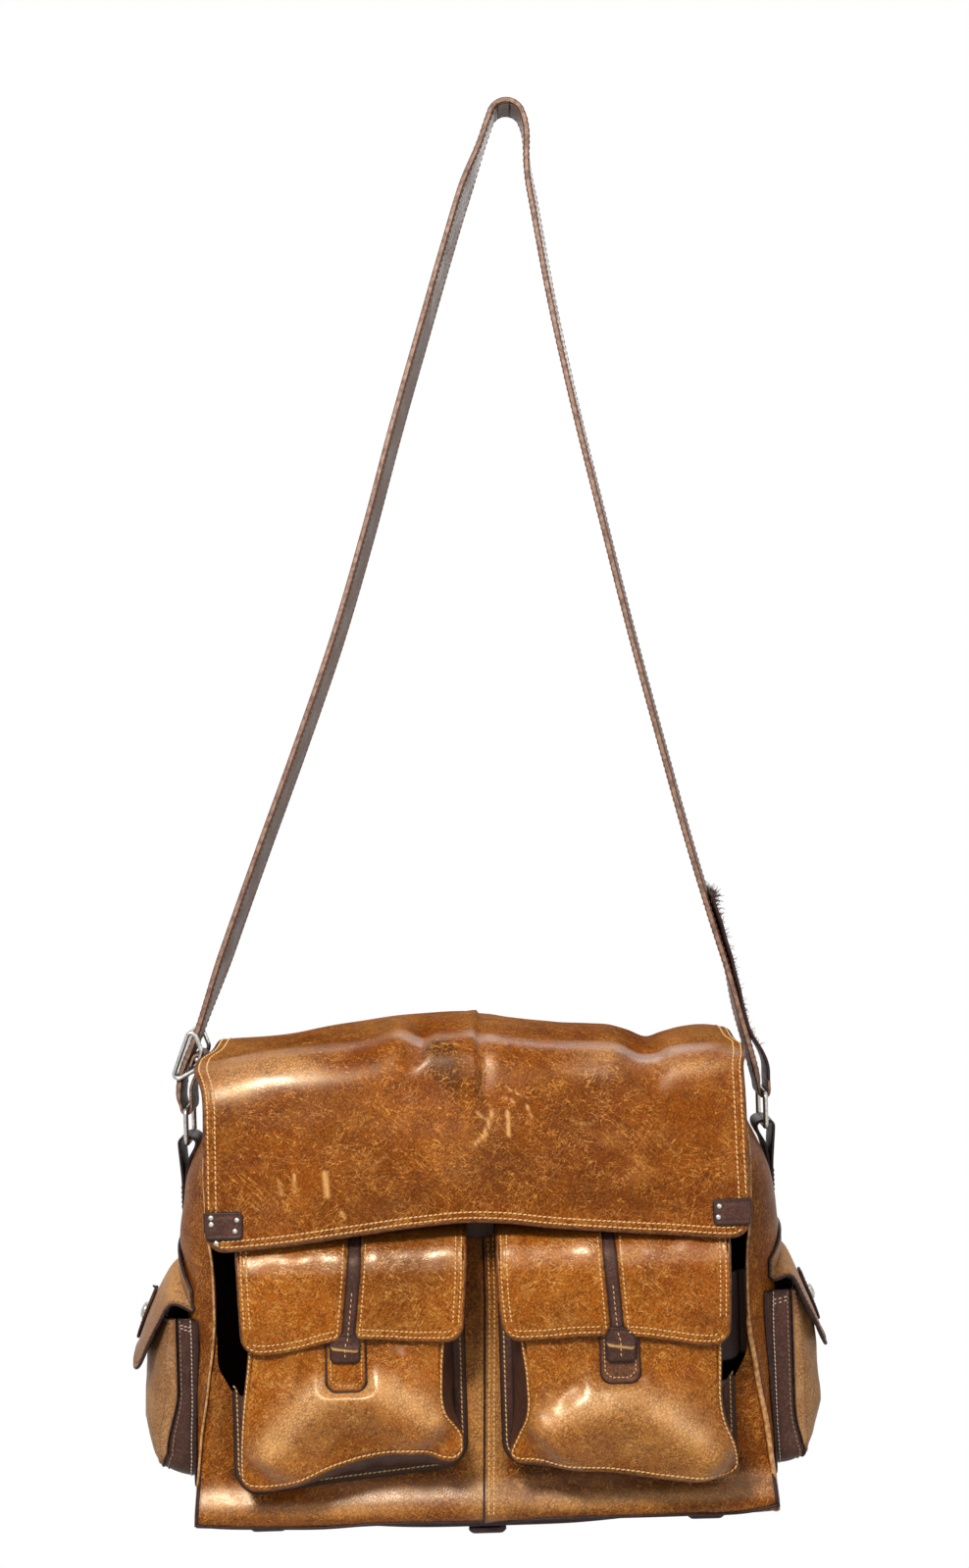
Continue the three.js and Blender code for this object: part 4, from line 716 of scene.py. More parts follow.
def make_body():
    left_seam = wall_grid(front_surface, lambda z: -front_edge(z), lambda z: seam_x(z) + 9,
                          rim_height, bottom_z, 90, 60)
    piece = sheet("wall_front_left", left_seam, PANEL, (TAN, RIM_DARK, SUEDE), facing=(0, -1, 0),
                  **front_shade_and_highlights(left_seam))
    dress(piece, "bag", ["front_panel_left"])

    def lapped(x, z):
        point = front_surface(x, z)
        lap = 2.7 * np.exp(-np.maximum(x - seam_x(z), 0) / 14)
        point[..., 1] -= lap
        return point

    right = wall_grid(lapped, seam_x, front_edge, rim_height, bottom_z, 90, 60)
    piece = sheet("wall_front_right", right, PANEL, (TAN, RIM_DARK, SUEDE), facing=(0, -1, 0), **front_shade_and_highlights(right))
    dress(piece, "bag", ["front_panel_right"])
    z = np.linspace(300, 6, 120)
    runs = [on(lapped, seam_x(z) + off, z, (0, -1, 0)) for off in (2.6, 6.0)]
    threads("seam_thread_centre", runs, "bag")
    back_top = flap_top_z(0.0, HINGE_Y) - FLAP - 2 * GAP
    back = wall_grid(back_surface, lambda z: -front_edge(z), front_edge,
                     lambda x: flap_top_z(x * 0.905, HINGE_Y) - FLAP - 2 * GAP, bottom_z, 90, 100)
    piece = sheet("wall_back", back, PANEL, (TAN, RIM_DARK, SUEDE), facing=(0, 1, 0))
    dress(piece, "bag", ["back_panel"])
    for name, side in SIDES:
        def gusset_surface(y, z, side=side):
            wave = 0.9 * ripples(y, z, 60, 21 + side)
            pinch = -TAB_SEAT * np.exp(-((y / 21) ** 4)) * ease((z - 188) / 18)
            x = side * (gusset_x(y, z) + wave * (1 - (y / 58) ** 4) + pinch)
            return np.stack(np.broadcast_arrays(x, y, z), -1)

        share = spread(300.0, 300.0 / 80)[:, None] / 300
        z = lerp(rim_height(front_edge(HEIGHT)), 1.5, share)
        y = np.sin(np.linspace(-1, 1, 41) * math.pi / 2)[None, :] * (face_y(z) - PANEL - GAP)
        piece = sheet(f"wall_{name}", gusset_surface(y, z), PANEL, (TAN, RIM_DARK, SUEDE), facing=(side, 0, 0))
        dress(piece, "bag", [f"gusset_{name}"])
        for end, way, surface in (("front", -1, front_surface), ("rear", 1, back_surface)):
            z = np.linspace(rim_height(front_edge(HEIGHT)) - 1, 3, 150)
            root = surface(side * front_edge(z), z)
            root[:, 1] = way * (face_y(z) - 1.2)
            reach = np.stack([side * np.full_like(z, 0.32), way * np.full_like(z, 0.95), 0 * z], 1)
            reach = unit(reach + np.stack([side * 0.2 * ripples(z, 0 * z, 60, 31), 0 * z, 0 * z], 1))
            wide = 3.0 + 2.5 * np.exp(-((z / 14) ** 2))
            out = np.linspace(0, 1, 5)[None, :, None] * wide[:, None, None]
            grid = root[:, None] + reach[:, None] * out
            thick = 1.7 + (1.9 * ease((142 - z) / 16) + 1.6 * np.exp(-((z / 10) ** 2))) * (side > 0)
            # The flanges carry painted shade, just past full dark.
            piece = sheet(f"seam_{end}_{name}", grid, thick[:, None], (TAN, RIM_PALE, TAN), facing=(side, 0.3 * way, 0),
                          tone=1.1)
            dress(piece, "bag")
        z = np.linspace(rim_height(front_edge(HEIGHT)) - 2, 5, 150)
        path = front_surface(side * (front_edge(z) - 0.7), z) - np.array([0, 0.1, 0])
        dress(tube(f"seam_line_{name}", path, 0.75, RIM_DARK, sides=8), "bag")


RIDGE_LINE = [(-181, 324), (-163, 326.8), (-125.6, 330.1), (-88, 335.8), (-51, 340.2), (-14, 341), (0, 340.4),
              (11, 339.5), (24, 336), (36, 333.6), (60, 332.1), (85, 330.7), (97, 329.4), (109.6, 325), (122, 319.6),
              (134, 322.4), (147, 325.4), (172, 326.5), (181, 324.5)]


def flap_top_z(x, y):
    return smooth_table(RIDGE_LINE, np.clip(x, -181, 181)) - 7 * (y / HINGE_Y) ** 2


LOWER_LINE = [(-181, 197.5), (-168, 198), (-136, 200), (-87, 205.6), (-39, 211), (-7, 213), (21, 211.5),
              (43, 208.5), (90, 204), (137, 200), (161, 198), (181, 197.5)]
CORNER = 13.0


def flap_lower(x):
    return smooth_table(LOWER_LINE, x) + corner_rise(x, -FLAP_HALF, FLAP_HALF, CORNER)


def flap_section(x, w):
    """The plain flap: w runs from its rear edge at 0 over the shoulder at 1 to its lower edge at 2."""
    y_top = lerp(HINGE_Y, -HINGE_Y + FLAP / 2, np.clip(w, 0, 1))
    along = np.clip(w - 1, 0, 1.05)
    top = flap_top_z(x, np.where(w <= 1, y_top, -HINGE_Y))
    z = np.where(w <= 1, top, lerp(top, flap_lower(x), lerp(along**1.35, along, along)))
    shoulder = 16 * np.sin(np.minimum(along / 0.08, 1) * math.pi / 2)
    drop = top - z
    y = np.where(w <= 1, y_top, -HINGE_Y + FLAP / 2 - shoulder - 20 * (1 - np.exp(-drop / 8)) - 19 * drop / 122)
    return y, z


def flap_relief(x, w, z):
    """The flap's creases and slack, as heights out from the plain flap."""
    down = (341 - z) + np.where(w < 1, (1 - w) * 60, 0)
    relief = fold(x, down, [(-2, -60), (-1, 0), (2, 30), (0, 56)], 4.6, 20, 2.4, 0.2)
    relief = relief + fold(x, down, [(-8, 40), (-6, 80), (-4, 128)], 1.8, 30, 9, 0.2)
    relief = relief + fold(x, down, [(-26, -30), (-31, 0), (-38, 16), (-48, 34)], -5.2, 8, 5, 0.35)
    relief = relief + fold(x, down, [(-52, -25), (-50, 0), (-60, 22)], 2.6, 12, 9, 0.35)
    relief = relief + fold(x, down, [(122, -45), (119, 6), (108, 30), (100, 46)], -4.0, 10, 9, 0.3)
    relief = relief + fold(x, down, [(142, -20), (138, 18), (126, 44)], 1.5, 12, 9, 0.3)
    relief = relief + fold(x, down, [(-170, 28), (-120, 18), (-70, 10)], 1.6, 10, 12, 0.3)
    slack = 1.5 * ripples(x, down, 95, 41) + 0.4 * ripples(x, down, 34, 42)
    return relief + slack * ease((w - 0.1) / 0.3) * ease((2.02 - w) / 0.25) * 0.9


def flap_surface(x, w):
    x, w = np.broadcast_arrays(np.asarray(x, float), np.asarray(w, float))
    y, z = flap_section(x, w)
    y2, z2 = flap_section(x, w + 0.01)
    y1, z1 = flap_section(x, w - 0.01)
    dy, dz = y2 - y1, z2 - z1
    size = np.maximum(np.hypot(dy, dz), 1e-9)
    relief = flap_relief(x, w, z)
    widen = np.where(x < 0, 9.0 * np.exp(-(((w - 1.0) / 0.16) ** 2)), 5.0 * np.exp(-(((w - 0.97) / 0.11) ** 2)))
    x = x + widen * (x / FLAP_HALF) ** 3
    return np.stack([x, y + relief * dz / size, z - relief * dy / size], -1)


def flap_w_at(x, z):
    """Where on the drop of the flap a height lies."""
    low, high = np.full(np.shape(x), 1.0), np.full(np.shape(x), 2.0)
    for _ in range(26):
        middle = (low + high) / 2
        above = flap_section(x, middle)[1] > z
        low, high = np.where(above, middle, low), np.where(above, high, middle)
    return (low + high) / 2


FLAP_BLEND = ("main_flap_top", "main_flap_front", (0, -40, 334), (0, -66, 334))

# Rubbed marks of the flap: (path of x and height, width, strength)
SCUFFS = [([(12, 285), (9, 276), (5, 266)], 2.2, 1.0), ([(5, 268), (-1, 262)], 2.4, 1.0),
          ([(1, 284), (6, 279)], 1.5, 1.0), ([(22, 283), (22, 268)], 2.8, 1.0),
          ([(22, 292), (26, 289)], 2.2, 1.0), ([(35, 287), (38, 279)], 1.8, 1.0),
          ([(21, 300), (28, 295), (36, 292)], 0.9, 1.0), ([(-101, 247), (-100, 232)], 3.2, 1.0),
          ([(-122, 246), (-122, 233)], 2.2, 1.0), ([(-132, 242), (-131, 233)], 2.6, 0.7),
          ([(-95, 267), (-99, 261), (-98, 255)], 1.0, 1.0), ([(-91, 221), (-88, 217)], 2.6, 0.8),
          ([(64, 276), (76, 272), (84, 279)], 2.2, 0.5), ([(96, 236), (110, 246)], 1.4, 0.6),
          ([(-60, 268), (-44, 284)], 1.2, 0.5), ([(40, 252), (52, 262)], 1.2, 0.5),
          ([(126, 262), (134, 250)], 1.6, 0.5), ([(-150, 300), (-140, 292)], 1.4, 0.4),
          ([(60, 308), (84, 304)], 1.4, 0.5), ([(-70, 250), (-52, 262)], 2.4, 0.5)]


# Darker places of the flap, partly its own tone and partly painted shade in its creases; FLAP_SHINE, places with more
# gloss; FLAP_GLOW, painted highlights: (x, height, width, length, strength)
FLAP_TONE_AND_SHADE = [(-24, 324, 14, 14, 1.0), (-14, 306, 12, 16, 0.7), (4, 300, 5, 22, 0.6), (14, 262, 20, 34, 0.45),
              (40, 240, 40, 24, 0.35), (-66, 318, 26, 9, 0.4), (96, 300, 40, 12, 0.3), (-172, 212, 12, 18, 0.6),
              (-60, 228, 50, 12, 0.3), (110, 222, 60, 12, 0.4), (116, 324, 10, 9, 0.7), (150, 262, 24, 34, 0.2),
              (60, 328, 50, 6, 0.3), (-110, 330, 50, 5, 0.3)]
FLAP_SHINE = [(-160, 308, 30, 14, 1.1), (-118, 312, 26, 9, 0.9), (-36, 322, 10, 14, 0.7), (84, 312, 26, 9, 0.9),
              (146, 310, 34, 8, 1.1), (9, 314, 6, 18, 0.7), (0, 262, 150, 40, 0.12)]
FLAP_GLOW = [(-158, 306, 22, 10, 1.0), (-122, 316, 20, 7, 0.9), (150, 309, 28, 5, 1.0), (84, 316, 18, 7, 0.7),
             (-44, 322, 12, 12, 0.6), (12, 312, 6, 20, 0.6), (-88, 322, 14, 6, 0.5), (-150, 318, 30, 6, 0.4)]


def blots(x, z, table):
    """The sum of soft blots, each a row of (x, height, width, length, strength)."""
    total = np.zeros(np.broadcast(x, z).shape)
    for middle, height, wide, long, strength in table:
        total = total + strength * np.exp(-(((x - middle) / wide) ** 2) - ((z - height) / long) ** 2)
    return total


def scuffing(x, z, scuffs=SCUFFS):
    total = np.zeros(np.broadcast(x, z).shape)
    for path, width, strength in scuffs:
        distance, _ = beside(x, z, path)
        total = np.maximum(total, 0.8 * strength * np.exp(-((distance / (0.62 * width)) ** 2)))
    return total


def make_main_flap():
    x = rounded(-FLAP_HALF, FLAP_HALF, CORNER, 2.2, 8)
    edges = [-FLAP_HALF + e for e in (1, 2, 3, 4, 5.2, 6.6, 8, 10)]
    x = np.unique(np.round(np.concatenate([x, edges, [-e for e in edges]]), 3))[None, :]
    tail = 1 - np.array([0, 1, 2, 3, 4, 5.2, 6.6, 8.4, 10.5])[::-1] / 150
    w = np.concatenate([np.linspace(0, 0.96, 40), 1 + np.linspace(0, 0.92, 66), 1 + tail])[:, None]
    grid = flap_surface(x, w)
    wear = np.maximum(scuffing(grid[..., 0], grid[..., 2]) * (w > 1.02),
                      0.3 * ease((flap_relief(x, w, flap_section(x, w)[1]) - 1.5) / 4))
    # Painted highlights on the shoulder, and painted light along the top in place of its reflection, whose specular the
    # shine below takes away.
    pale = 0.8 * blots(grid[..., 0], grid[..., 2], FLAP_GLOW) * (w > 1) + 0.4 * ease((1.12 - w) / 0.1)
    tone = blots(grid[..., 0], grid[..., 2], FLAP_TONE_AND_SHADE) - pale + 0.5 * np.exp(-((rim_distance(grid) / 1.6) ** 2))
    shine = np.minimum(blots(grid[..., 0], grid[..., 2], FLAP_SHINE), 1.2) * (w > 1)
    shine = shine - 0.95 * ease((1.1 - w) / 0.1)
    piece = sheet("main_flap", grid, FLAP, (TAN, RIM_TAN, SUEDE), facing=(0, -1, 0.5), wear=wear, tone=tone,
                  shine=shine, grooves=(1.9, 6.2), depth=0.45)
    dress(piece, FLAP_BLEND, ["flap_top", "flap_front"])
    runs = []
    for off in (1.9, 5.6):
        along = np.linspace(-FLAP_HALF + off + 4, FLAP_HALF - off - 4, 240)
        inner = smooth_table(LOWER_LINE, along)
        rise = corner_rise(along, -FLAP_HALF + off, FLAP_HALF - off, CORNER - off)
        runs.append(on(flap_surface, along, flap_w_at(along, inner + off + rise), (0, -1, 0), 0.004))
    for side in (-1, 1):
        for off in (1.9, 6.7):
            w_run = np.linspace(0.06, 1.83, 160)
            runs.append(flap_run(side * (FLAP_HALF - off), w_run))
    threads("main_flap_thread", runs, FLAP_BLEND)


def flap_run(x, w):
    x = np.full_like(w, x)
    point = flap_surface(x, w)
    across = flap_surface(x + 1, w) - flap_surface(x - 1, w)
    down = flap_surface(x, w + 0.01) - flap_surface(x, w - 0.01)
    normal = unit(np.cross(across, down))
    away = np.stack([0 * w, -np.ones_like(w), np.ones_like(w)], -1)
    return point, np.where(((normal * away).sum(-1) < 0)[..., None], -normal, normal)


def flap_normal(x, z):
    point, normal = flap_run_at(np.array([float(x)]), np.array([float(z)]))
    return point[0], normal[0]


def flap_run_at(x, z):
    w = flap_w_at(x, z)
    point = flap_surface(x, w)
    across = flap_surface(x + 1, w) - flap_surface(x - 1, w)
    down = flap_surface(x, w + 0.01) - flap_surface(x, w - 0.01)
    normal = unit(np.cross(across, down))
    return point, np.where((normal[..., 1] > 0)[..., None], -normal, normal)


RIVETS = {"left": [(-177.4, 219.6), (-177.2, 215.4), (-160.4, 217.6), (-161.6, 210.4), (-174.4, 203.0)],
          "right": [(160.8, 217.4), (159.9, 210.4)]}


def make_guards():
    for name, side in SIDES:
        columns = rounded(157.5, FLAP_HALF + 0.6, 3.0, 1.4, 4)
        top = 222.0 if side < 0 else 221.2
        places = side * columns[None, :]
        outline = smooth_table(LOWER_LINE, places) + corner_rise(places, -FLAP_HALF - 0.6, FLAP_HALF + 0.6, CORNER)
        low = np.maximum(205.6 + corner_rise(columns[None, :], 157.5, 400, 2.0), outline - 0.2)
        rows = spread(24.0, 1.2, False)[:, None] / 24
        high = top - corner_rise(columns[None, :], 157.5, 400, 2.0)
        z = lerp(high, low, rows)
        x = np.broadcast_to(places, z.shape)
        point, normal = flap_run_at(x, z)
        grid = point + normal * (GAP + PATCH)
        piece = sheet(f"guard_{name}", grid, PATCH, (DARK, RIM_DARK, SUEDE_DARK), facing=(0, -1, 0),
                      grooves=(2.0,), depth=0.25)
        dress(piece, "main_flap_front", [f"corner_guard_{name}"])
        for k, (at, height) in enumerate(RIVETS[name]):
            centre, normal = flap_normal(at, height)
            proud = GAP + PATCH - 0.1 if height > 205 else 0.1
            rivet = dome(f"rivet_{name}_{k}", centre + normal * proud, normal, 1.85, 1.1)
            dress(rivet, "main_flap_front")


make_body()
make_main_flap()
make_guards()


# The front pockets

PANEL_EDGES = {
    "left": {"inner": [(50, 15), (60, 14.5), (69, 15), (76, 19), (84, 24), (110, 26.7), (130, 25), (166, 21)],
             "outer": [(38, 162.5), (44, 163), (72, 162), (127, 156), (166, 152)],
             "floor": [(14, 52), (20, 51), (28, 52), (38, 56.5), (51, 57.5), (76, 55), (100, 49), (125, 39.5),
                       (145, 35), (163, 36)]},
    "right": {"inner": [(46, 18), (56, 17.5), (66, 22), (80, 28), (105, 29), (130, 26), (166, 22)],
              "outer": [(36, 168), (43, 169), (58, 167), (72, 161.5), (123, 160), (166, 157)],
              "floor": [(17, 48), (24, 48.5), (50, 45), (80, 41.5), (120, 36.5), (145, 35), (169, 36)]},
}
PANEL_FOLDS = {
    "left": [([(-154, 44), (-142, 62), (-126, 80), (-107, 96), (-89, 101), (-72, 99), (-47, 88), (-20, 66)],
              13.4, 20, 27, 0.12),
             ([(-58, 132), (-44, 108), (-30, 86)], 3.6, 9, 6, 0.25),
             ([(-132, 126), (-118, 104), (-108, 84)], -1.6, 9, 9, 0.3),
             ([(-150, 122), (-140, 96), (-136, 70)], 1.8, 10, 10, 0.3),
             ([(-24, 58), (-40, 62), (-58, 63)], -2.2, 5, 5, 0.3)],
    "right": [([(30, 58), (48, 72), (66, 80), (90, 82), (110, 76), (130, 65), (150, 50), (164, 38)],
               15.2, 23, 27, 0.12),
              ([(124, 132), (128, 110), (140, 84)], 2.4, 9, 11, 0.3),
              ([(50, 130), (42, 108), (38, 84)], 2.2, 8, 9, 0.3),
              ([(70, 104), (58, 98), (44, 88)], -1.8, 6, 6, 0.3),
              ([(152, 60), (160, 46), (166, 40)], 2.0, 7, 7, 0.3)],
}
PANEL_Y = 99.3
PANEL_TOP = 166.0
PANEL_CORNER = 8.0
KEEPER = {"left": -90.6, "right": 92.0}


def panel_relief(name, x, z):
    relief = sum(fold(x, z, path, high, up, down, fade) for path, high, up, down, fade in PANEL_FOLDS[name])
    relief = relief + 0.8 * ripples(x, z, 48, 51) + 0.22 * ripples(x, z, 17, 52)
    flat = np.exp(-(((x - KEEPER[name]) / 15) ** 4)) * ease((z - 98) / 8)
    return relief * ease((141 - z) / 16) * (1 - 0.9 * flat)


def panel_surface(name):
    def surface(x, z):
        return np.stack(np.broadcast_arrays(x, -(PANEL_Y + panel_relief(name, x, z)), z), -1)
    return surface


def panel_grid(name, side):
    edges = PANEL_EDGES[name]
    width = 148.0
    s = np.unique(np.concatenate([rounded(0, width, PANEL_CORNER, 1.9, 8), spread(width, 1.9)]).round(2))
    s = s[None, :] / width
    low_u = lerp(edges["floor"][0][0], edges["floor"][-1][0], s)
    floor = smooth_table(edges["floor"], low_u) + corner_rise(s * width, 0, width, PANEL_CORNER)
    t = spread(120.0, 1.9)[:, None] / 120
    z = lerp(PANEL_TOP, floor, t)
    u = lerp(smooth_table(edges["inner"], z), smooth_table(edges["outer"], z), s)
    point = panel_surface(name)(side * u, z)
    margin = np.minimum(np.minimum(s, 1 - s) * width, (1 - t) * 120)
    point[..., 1] += 2.6 * np.exp(-margin / 5.0)
    return point


def boundary(grid):
    """The left side, bottom and right side of a grid, as one path."""
    return np.concatenate([grid[:, 0], grid[-1, 1:], grid[-2::-1, -1]])


def u_path(low, high, low_floor, high_floor, top, corner, counts):
    """A U with rounded corners: down its first side, along its floor and up its second side."""
    slope = math.atan2(high_floor - low_floor, high - low)
    half = counts[1] // 6
    turn_a = np.linspace(math.pi, 1.5 * math.pi + slope, half)
    turn_b = np.linspace(1.5 * math.pi + slope, 2 * math.pi, half)
    first = np.stack([np.full(counts[0], low), np.linspace(top, low_floor + corner, counts[0])], 1)
    arc_a = np.stack([low + corner + corner * np.cos(turn_a), low_floor + corner + corner * np.sin(turn_a)], 1)
    arc_b = np.stack([high - corner + corner * np.cos(turn_b), high_floor + corner + corner * np.sin(turn_b)], 1)
    floor = np.concatenate([arc_a, np.linspace(arc_a[-1], arc_b[0], 40)[1:-1], arc_b])
    last = np.stack([np.full(counts[0], high), np.linspace(high_floor + corner, top, counts[0])], 1)
    floor = resample(floor, counts[1] + 2)[1:-1]
    return np.concatenate([first, floor, last])


def path_normals(path):
    along = unit(np.gradient(path, axis=0))
    return np.stack([along[:, 1], -along[:, 0]], 1)


def ruled(front, base, bellows, columns=9):
    """A wall between two paths, pushed out by bellows in the middle of its depth."""
    share = np.linspace(0, 1, columns)[None, :, None]
    grid = front[:, None] * (1 - share) + base[:, None] * share
    return grid + bellows[:, None] * np.sin(share * math.pi) ** 1.0


def flange_grid(path, normals, place, width, columns=6):
    """A strip that lies on a wall outside a path."""
    out = np.linspace(0, 1, columns)[None, :, None] * np.broadcast_to(width, (len(path),))[:, None, None]
    spots = path[:, None] + normals[:, None] * out
    return place(spots[..., 0], spots[..., 1])


def make_pocket(name, side):
    grid = panel_grid(name, side)
    relief = panel_relief(name, grid[..., 0], grid[..., 2])
    ridge = smooth_path(PANEL_FOLDS[name][0][0], 24)
    # A painted highlight along the upper flank of the bulge's ridge, partly a rubbed pale ridge.
    off, share = beside(grid[..., 0], grid[..., 2], ridge + np.array([0, 5.0 if side < 0 else 10.0]))
    glow = np.exp(-((off / 8.5) ** 2)) * ease(share / 0.2) * ease((1 - share) / 0.2)
    glow = glow * (0.8 + 0.3 * ripples(grid[..., 0], grid[..., 2], 30, 54))
    wear = 0.3 * glow
    shine = 0.2 * ease((relief - 1.5) / 5) + 1.1 * np.clip(glow, 0, 1.1)
    # Painted shade towards the top under the pocket flap; painted light on the raised bulge and the painted highlight
    # along its ridge.
    tone = 0.5 * ease((grid[..., 2] - 112) / 20) - 0.3 * ease((relief - 2) / 5) - 0.95 * glow
    piece = sheet(f"pocket_front_{name}", grid, 2.2, (TAN_POCKET, RIM_TAN, SUEDE), facing=(0, -1, 0), wear=wear,
                  shine=shine, tone=tone, grooves=(3.4,), depth=0.7)
    dress(piece, "bag", [f"pocket_panel_{name}"])
    inset = boundary(grid[:, 3:-3][:-3])
    runs = [(inset + np.array([0, -0.1, 0]), np.tile([0.0, -1.0, 0.0], (len(inset), 1)))]
    threads(f"pocket_front_thread_{name}", runs, "bag")

    front = boundary(grid) + np.array([0, 2.4, 0])
    rows, columns = grid.shape[:2]
    path = u_path(20.5, 163.0, 45.5, 33.0, PANEL_TOP, 9.0, (rows, columns - 2))
    outer = ease((path[:, 0] - 148) / 14) * ease((path[:, 1] - 92) / 22)
    path[:, 0] += 13.5 * outer
    normals = path_normals(path)
    wall_y = front_surface(side * path[:, 0], path[:, 1])[:, 1]
    base = np.stack([side * path[:, 0], wall_y - 0.3, path[:, 1]], 1)
    out = np.stack([side * normals[:, 0], 0 * wall_y, normals[:, 1]], 1)
    droop = 1.4 + 3.6 * np.clip(-normals[:, 1], 0, 1)
    wave = 0.7 * ripples(np.arange(len(path)) * 1.9, 0, 30, 61 + side)
    bellows = out * (droop + wave)[:, None]
    wall = ruled(front, base, bellows, 13)
    centre = (side * 92, -85, 110)
    floor = ease((-normals[:, 1] - 0.3) / 0.4)
    # Painted shadow, near black, on the wall's outer side, and painted shade along its floor; the flange below carries
    # the same.
    tone = (2.1 if side < 0 else 1.6) * np.minimum(outer * 3, 1) + 0.8 * floor
    piece = sheet(f"pocket_wall_{name}", wall, 2.0, (DARK, DARK, SUEDE_DARK), centre=centre, tone=tone[:, None])
    dress(piece, "bag", [f"pocket_gusset_{name}"])

    def on_wall(u, z, off=2.3):
        point = front_surface(side * u, z)
        point[..., 1] -= off
        return point

    width = lerp(8.0, 3.4, outer)
    flange = flange_grid(path, normals, on_wall, width)
    piece = sheet(f"pocket_flange_{name}", flange, 2.0, (DARK, DARK, SUEDE_DARK), facing=(0, -1, 0),
                  grooves=(2.0,), depth=0.2, tone=(tone + 0.0 * outer)[:, None])
    dress(piece, "bag")
    seam = path + normals * (width * 0.68)[:, None]
    seam = seam[outer < 0.4]
    run = on_wall(seam[:, 0], seam[:, 1])
    threads(f"pocket_flange_thread_{name}", [(run, np.tile([0.0, -1.0, 0.0], (len(run), 1)))], "bag")

    at = KEEPER[name]
    columns_x = rounded(-12.5, 12.5, 6.0, 1.6, 6)[None, :]
    z = lerp(139.0, 103.0 + corner_rise(columns_x, -12.5, 12.5, 6.0), np.linspace(0, 1, 24)[:, None])
    loop = panel_surface(name)(at + columns_x, z)
    loop[..., 1] -= 0.3 + PATCH + 0.5 * np.exp(-((z - 104) / 8) ** 2)
    tone = TAN_POCKET if side < 0 else KEEPER_BROWN
    piece = sheet(f"keeper_patch_{name}", loop, PATCH, (tone, RIM_DARK, SUEDE), facing=(0, -1, 0), grooves=(2.2,),
                  depth=0.3)
    dress(piece, "bag", [f"keeper_{name}"])
    line = u_path(at - 10.2, at + 10.2, 105.4, 105.4, 137, 4.2, (14, 16))
    run = panel_surface(name)(line[:, 0], line[:, 1])
    run[:, 1] -= 0.3 + PATCH + 0.5 * np.exp(-((line[:, 1] - 104) / 8) ** 2)
    threads(f"keeper_thread_{name}", [(run, np.tile([0.0, -1.0, 0.0], (len(run), 1)))], "bag", pitch=2.8,
            length=2.1, radius=0.36)


# The pocket flaps

FLAP_LINES = {
    "left": {"inner": [(120, 13.2), (146, 12.5), (170, 10.5), (206, 9)], "outer": [(120, 158.5), (150, 159.5), (206, 162)],
             "edge": [(12, 134), (29, 133.3), (57, 135.2), (81, 137.2), (92, 137), (101, 135.6), (122, 130), (142, 127.6),
                      (160, 128)],
             "tongue": [(118, 90.8), (137, 88.8), (160, 86), (185, 83.6), (206, 83)]},
    "right": {"inner": [(120, 16.5), (139, 15), (160, 13), (206, 12.5)], "outer": [(120, 164), (150, 165.5), (206, 167)],
              "edge": [(14, 133), (27, 132.2), (56, 133.8), (82, 134.4), (92, 134), (106, 132.8), (127, 129.4),
                       (150, 125.8), (165, 125.6)],
              "tongue": [(118, 92.6), (137, 90.8), (160, 89), (185, 87.4), (206, 86.6)]},
}
FLAP_PROFILE = smooth_path([(-61.8, 207), (-74, 205.6), (-86, 202.5), (-95, 197.5), (-101, 190.5), (-104, 181),
                            (-105, 168), (-105, 152), (-103.8, 138), (-103.0, 120)], 200)
POCKET_FLAP_CORNER = 10.0


def profile_at(z):
    """The flap's y where its section has a height."""
    return np.interp(-z, -FLAP_PROFILE[:, 1], FLAP_PROFILE[:, 0])


def pocket_flap_surface(name, side):
    lines = FLAP_LINES[name]

    def surface(u, z):
        u, z = np.broadcast_arrays(np.asarray(u, float), np.asarray(z, float))
        y = profile_at(z)
        slope = profile_at(z + 0.5) - profile_at(z - 0.5)
        size = np.hypot(slope, 1)
        off = u - smooth_table(lines["tongue"], z)
        strength = ease((z - 110) / 10)
        relief = -2.6 * np.exp(-((off / 5.2) ** 4)) + 1.1 * np.exp(-(((np.abs(off) - 13) / 8) ** 2))
        swell = 1.1 * np.sin(np.clip((z - 128) / 70, 0, 1) * math.pi)
        relief = relief * strength + swell + 0.8 * ripples(u * side, z, 52, 71 + side) + 0.3 * ripples(u, z, 20, 72)
        relief = relief * ease((207.5 - z) / 12)
        return np.stack([side * u, y - relief / size, z + relief * slope / size], -1)
    return surface


# Dark places of the pocket flaps, partly their own tone and partly painted shade beside the tongue: (distance from the
# middle, height, width, length, strength)
POCKET_FLAP_TONE_AND_SHADE = {"left": [(52, 170, 30, 28, 0.5), (30, 190, 22, 14, 0.3), (86, 168, 7, 40, 0.5)],
                     "right": [(112, 172, 22, 22, 0.35), (88, 170, 7, 40, 0.5), (150, 140, 16, 14, 0.25)]}


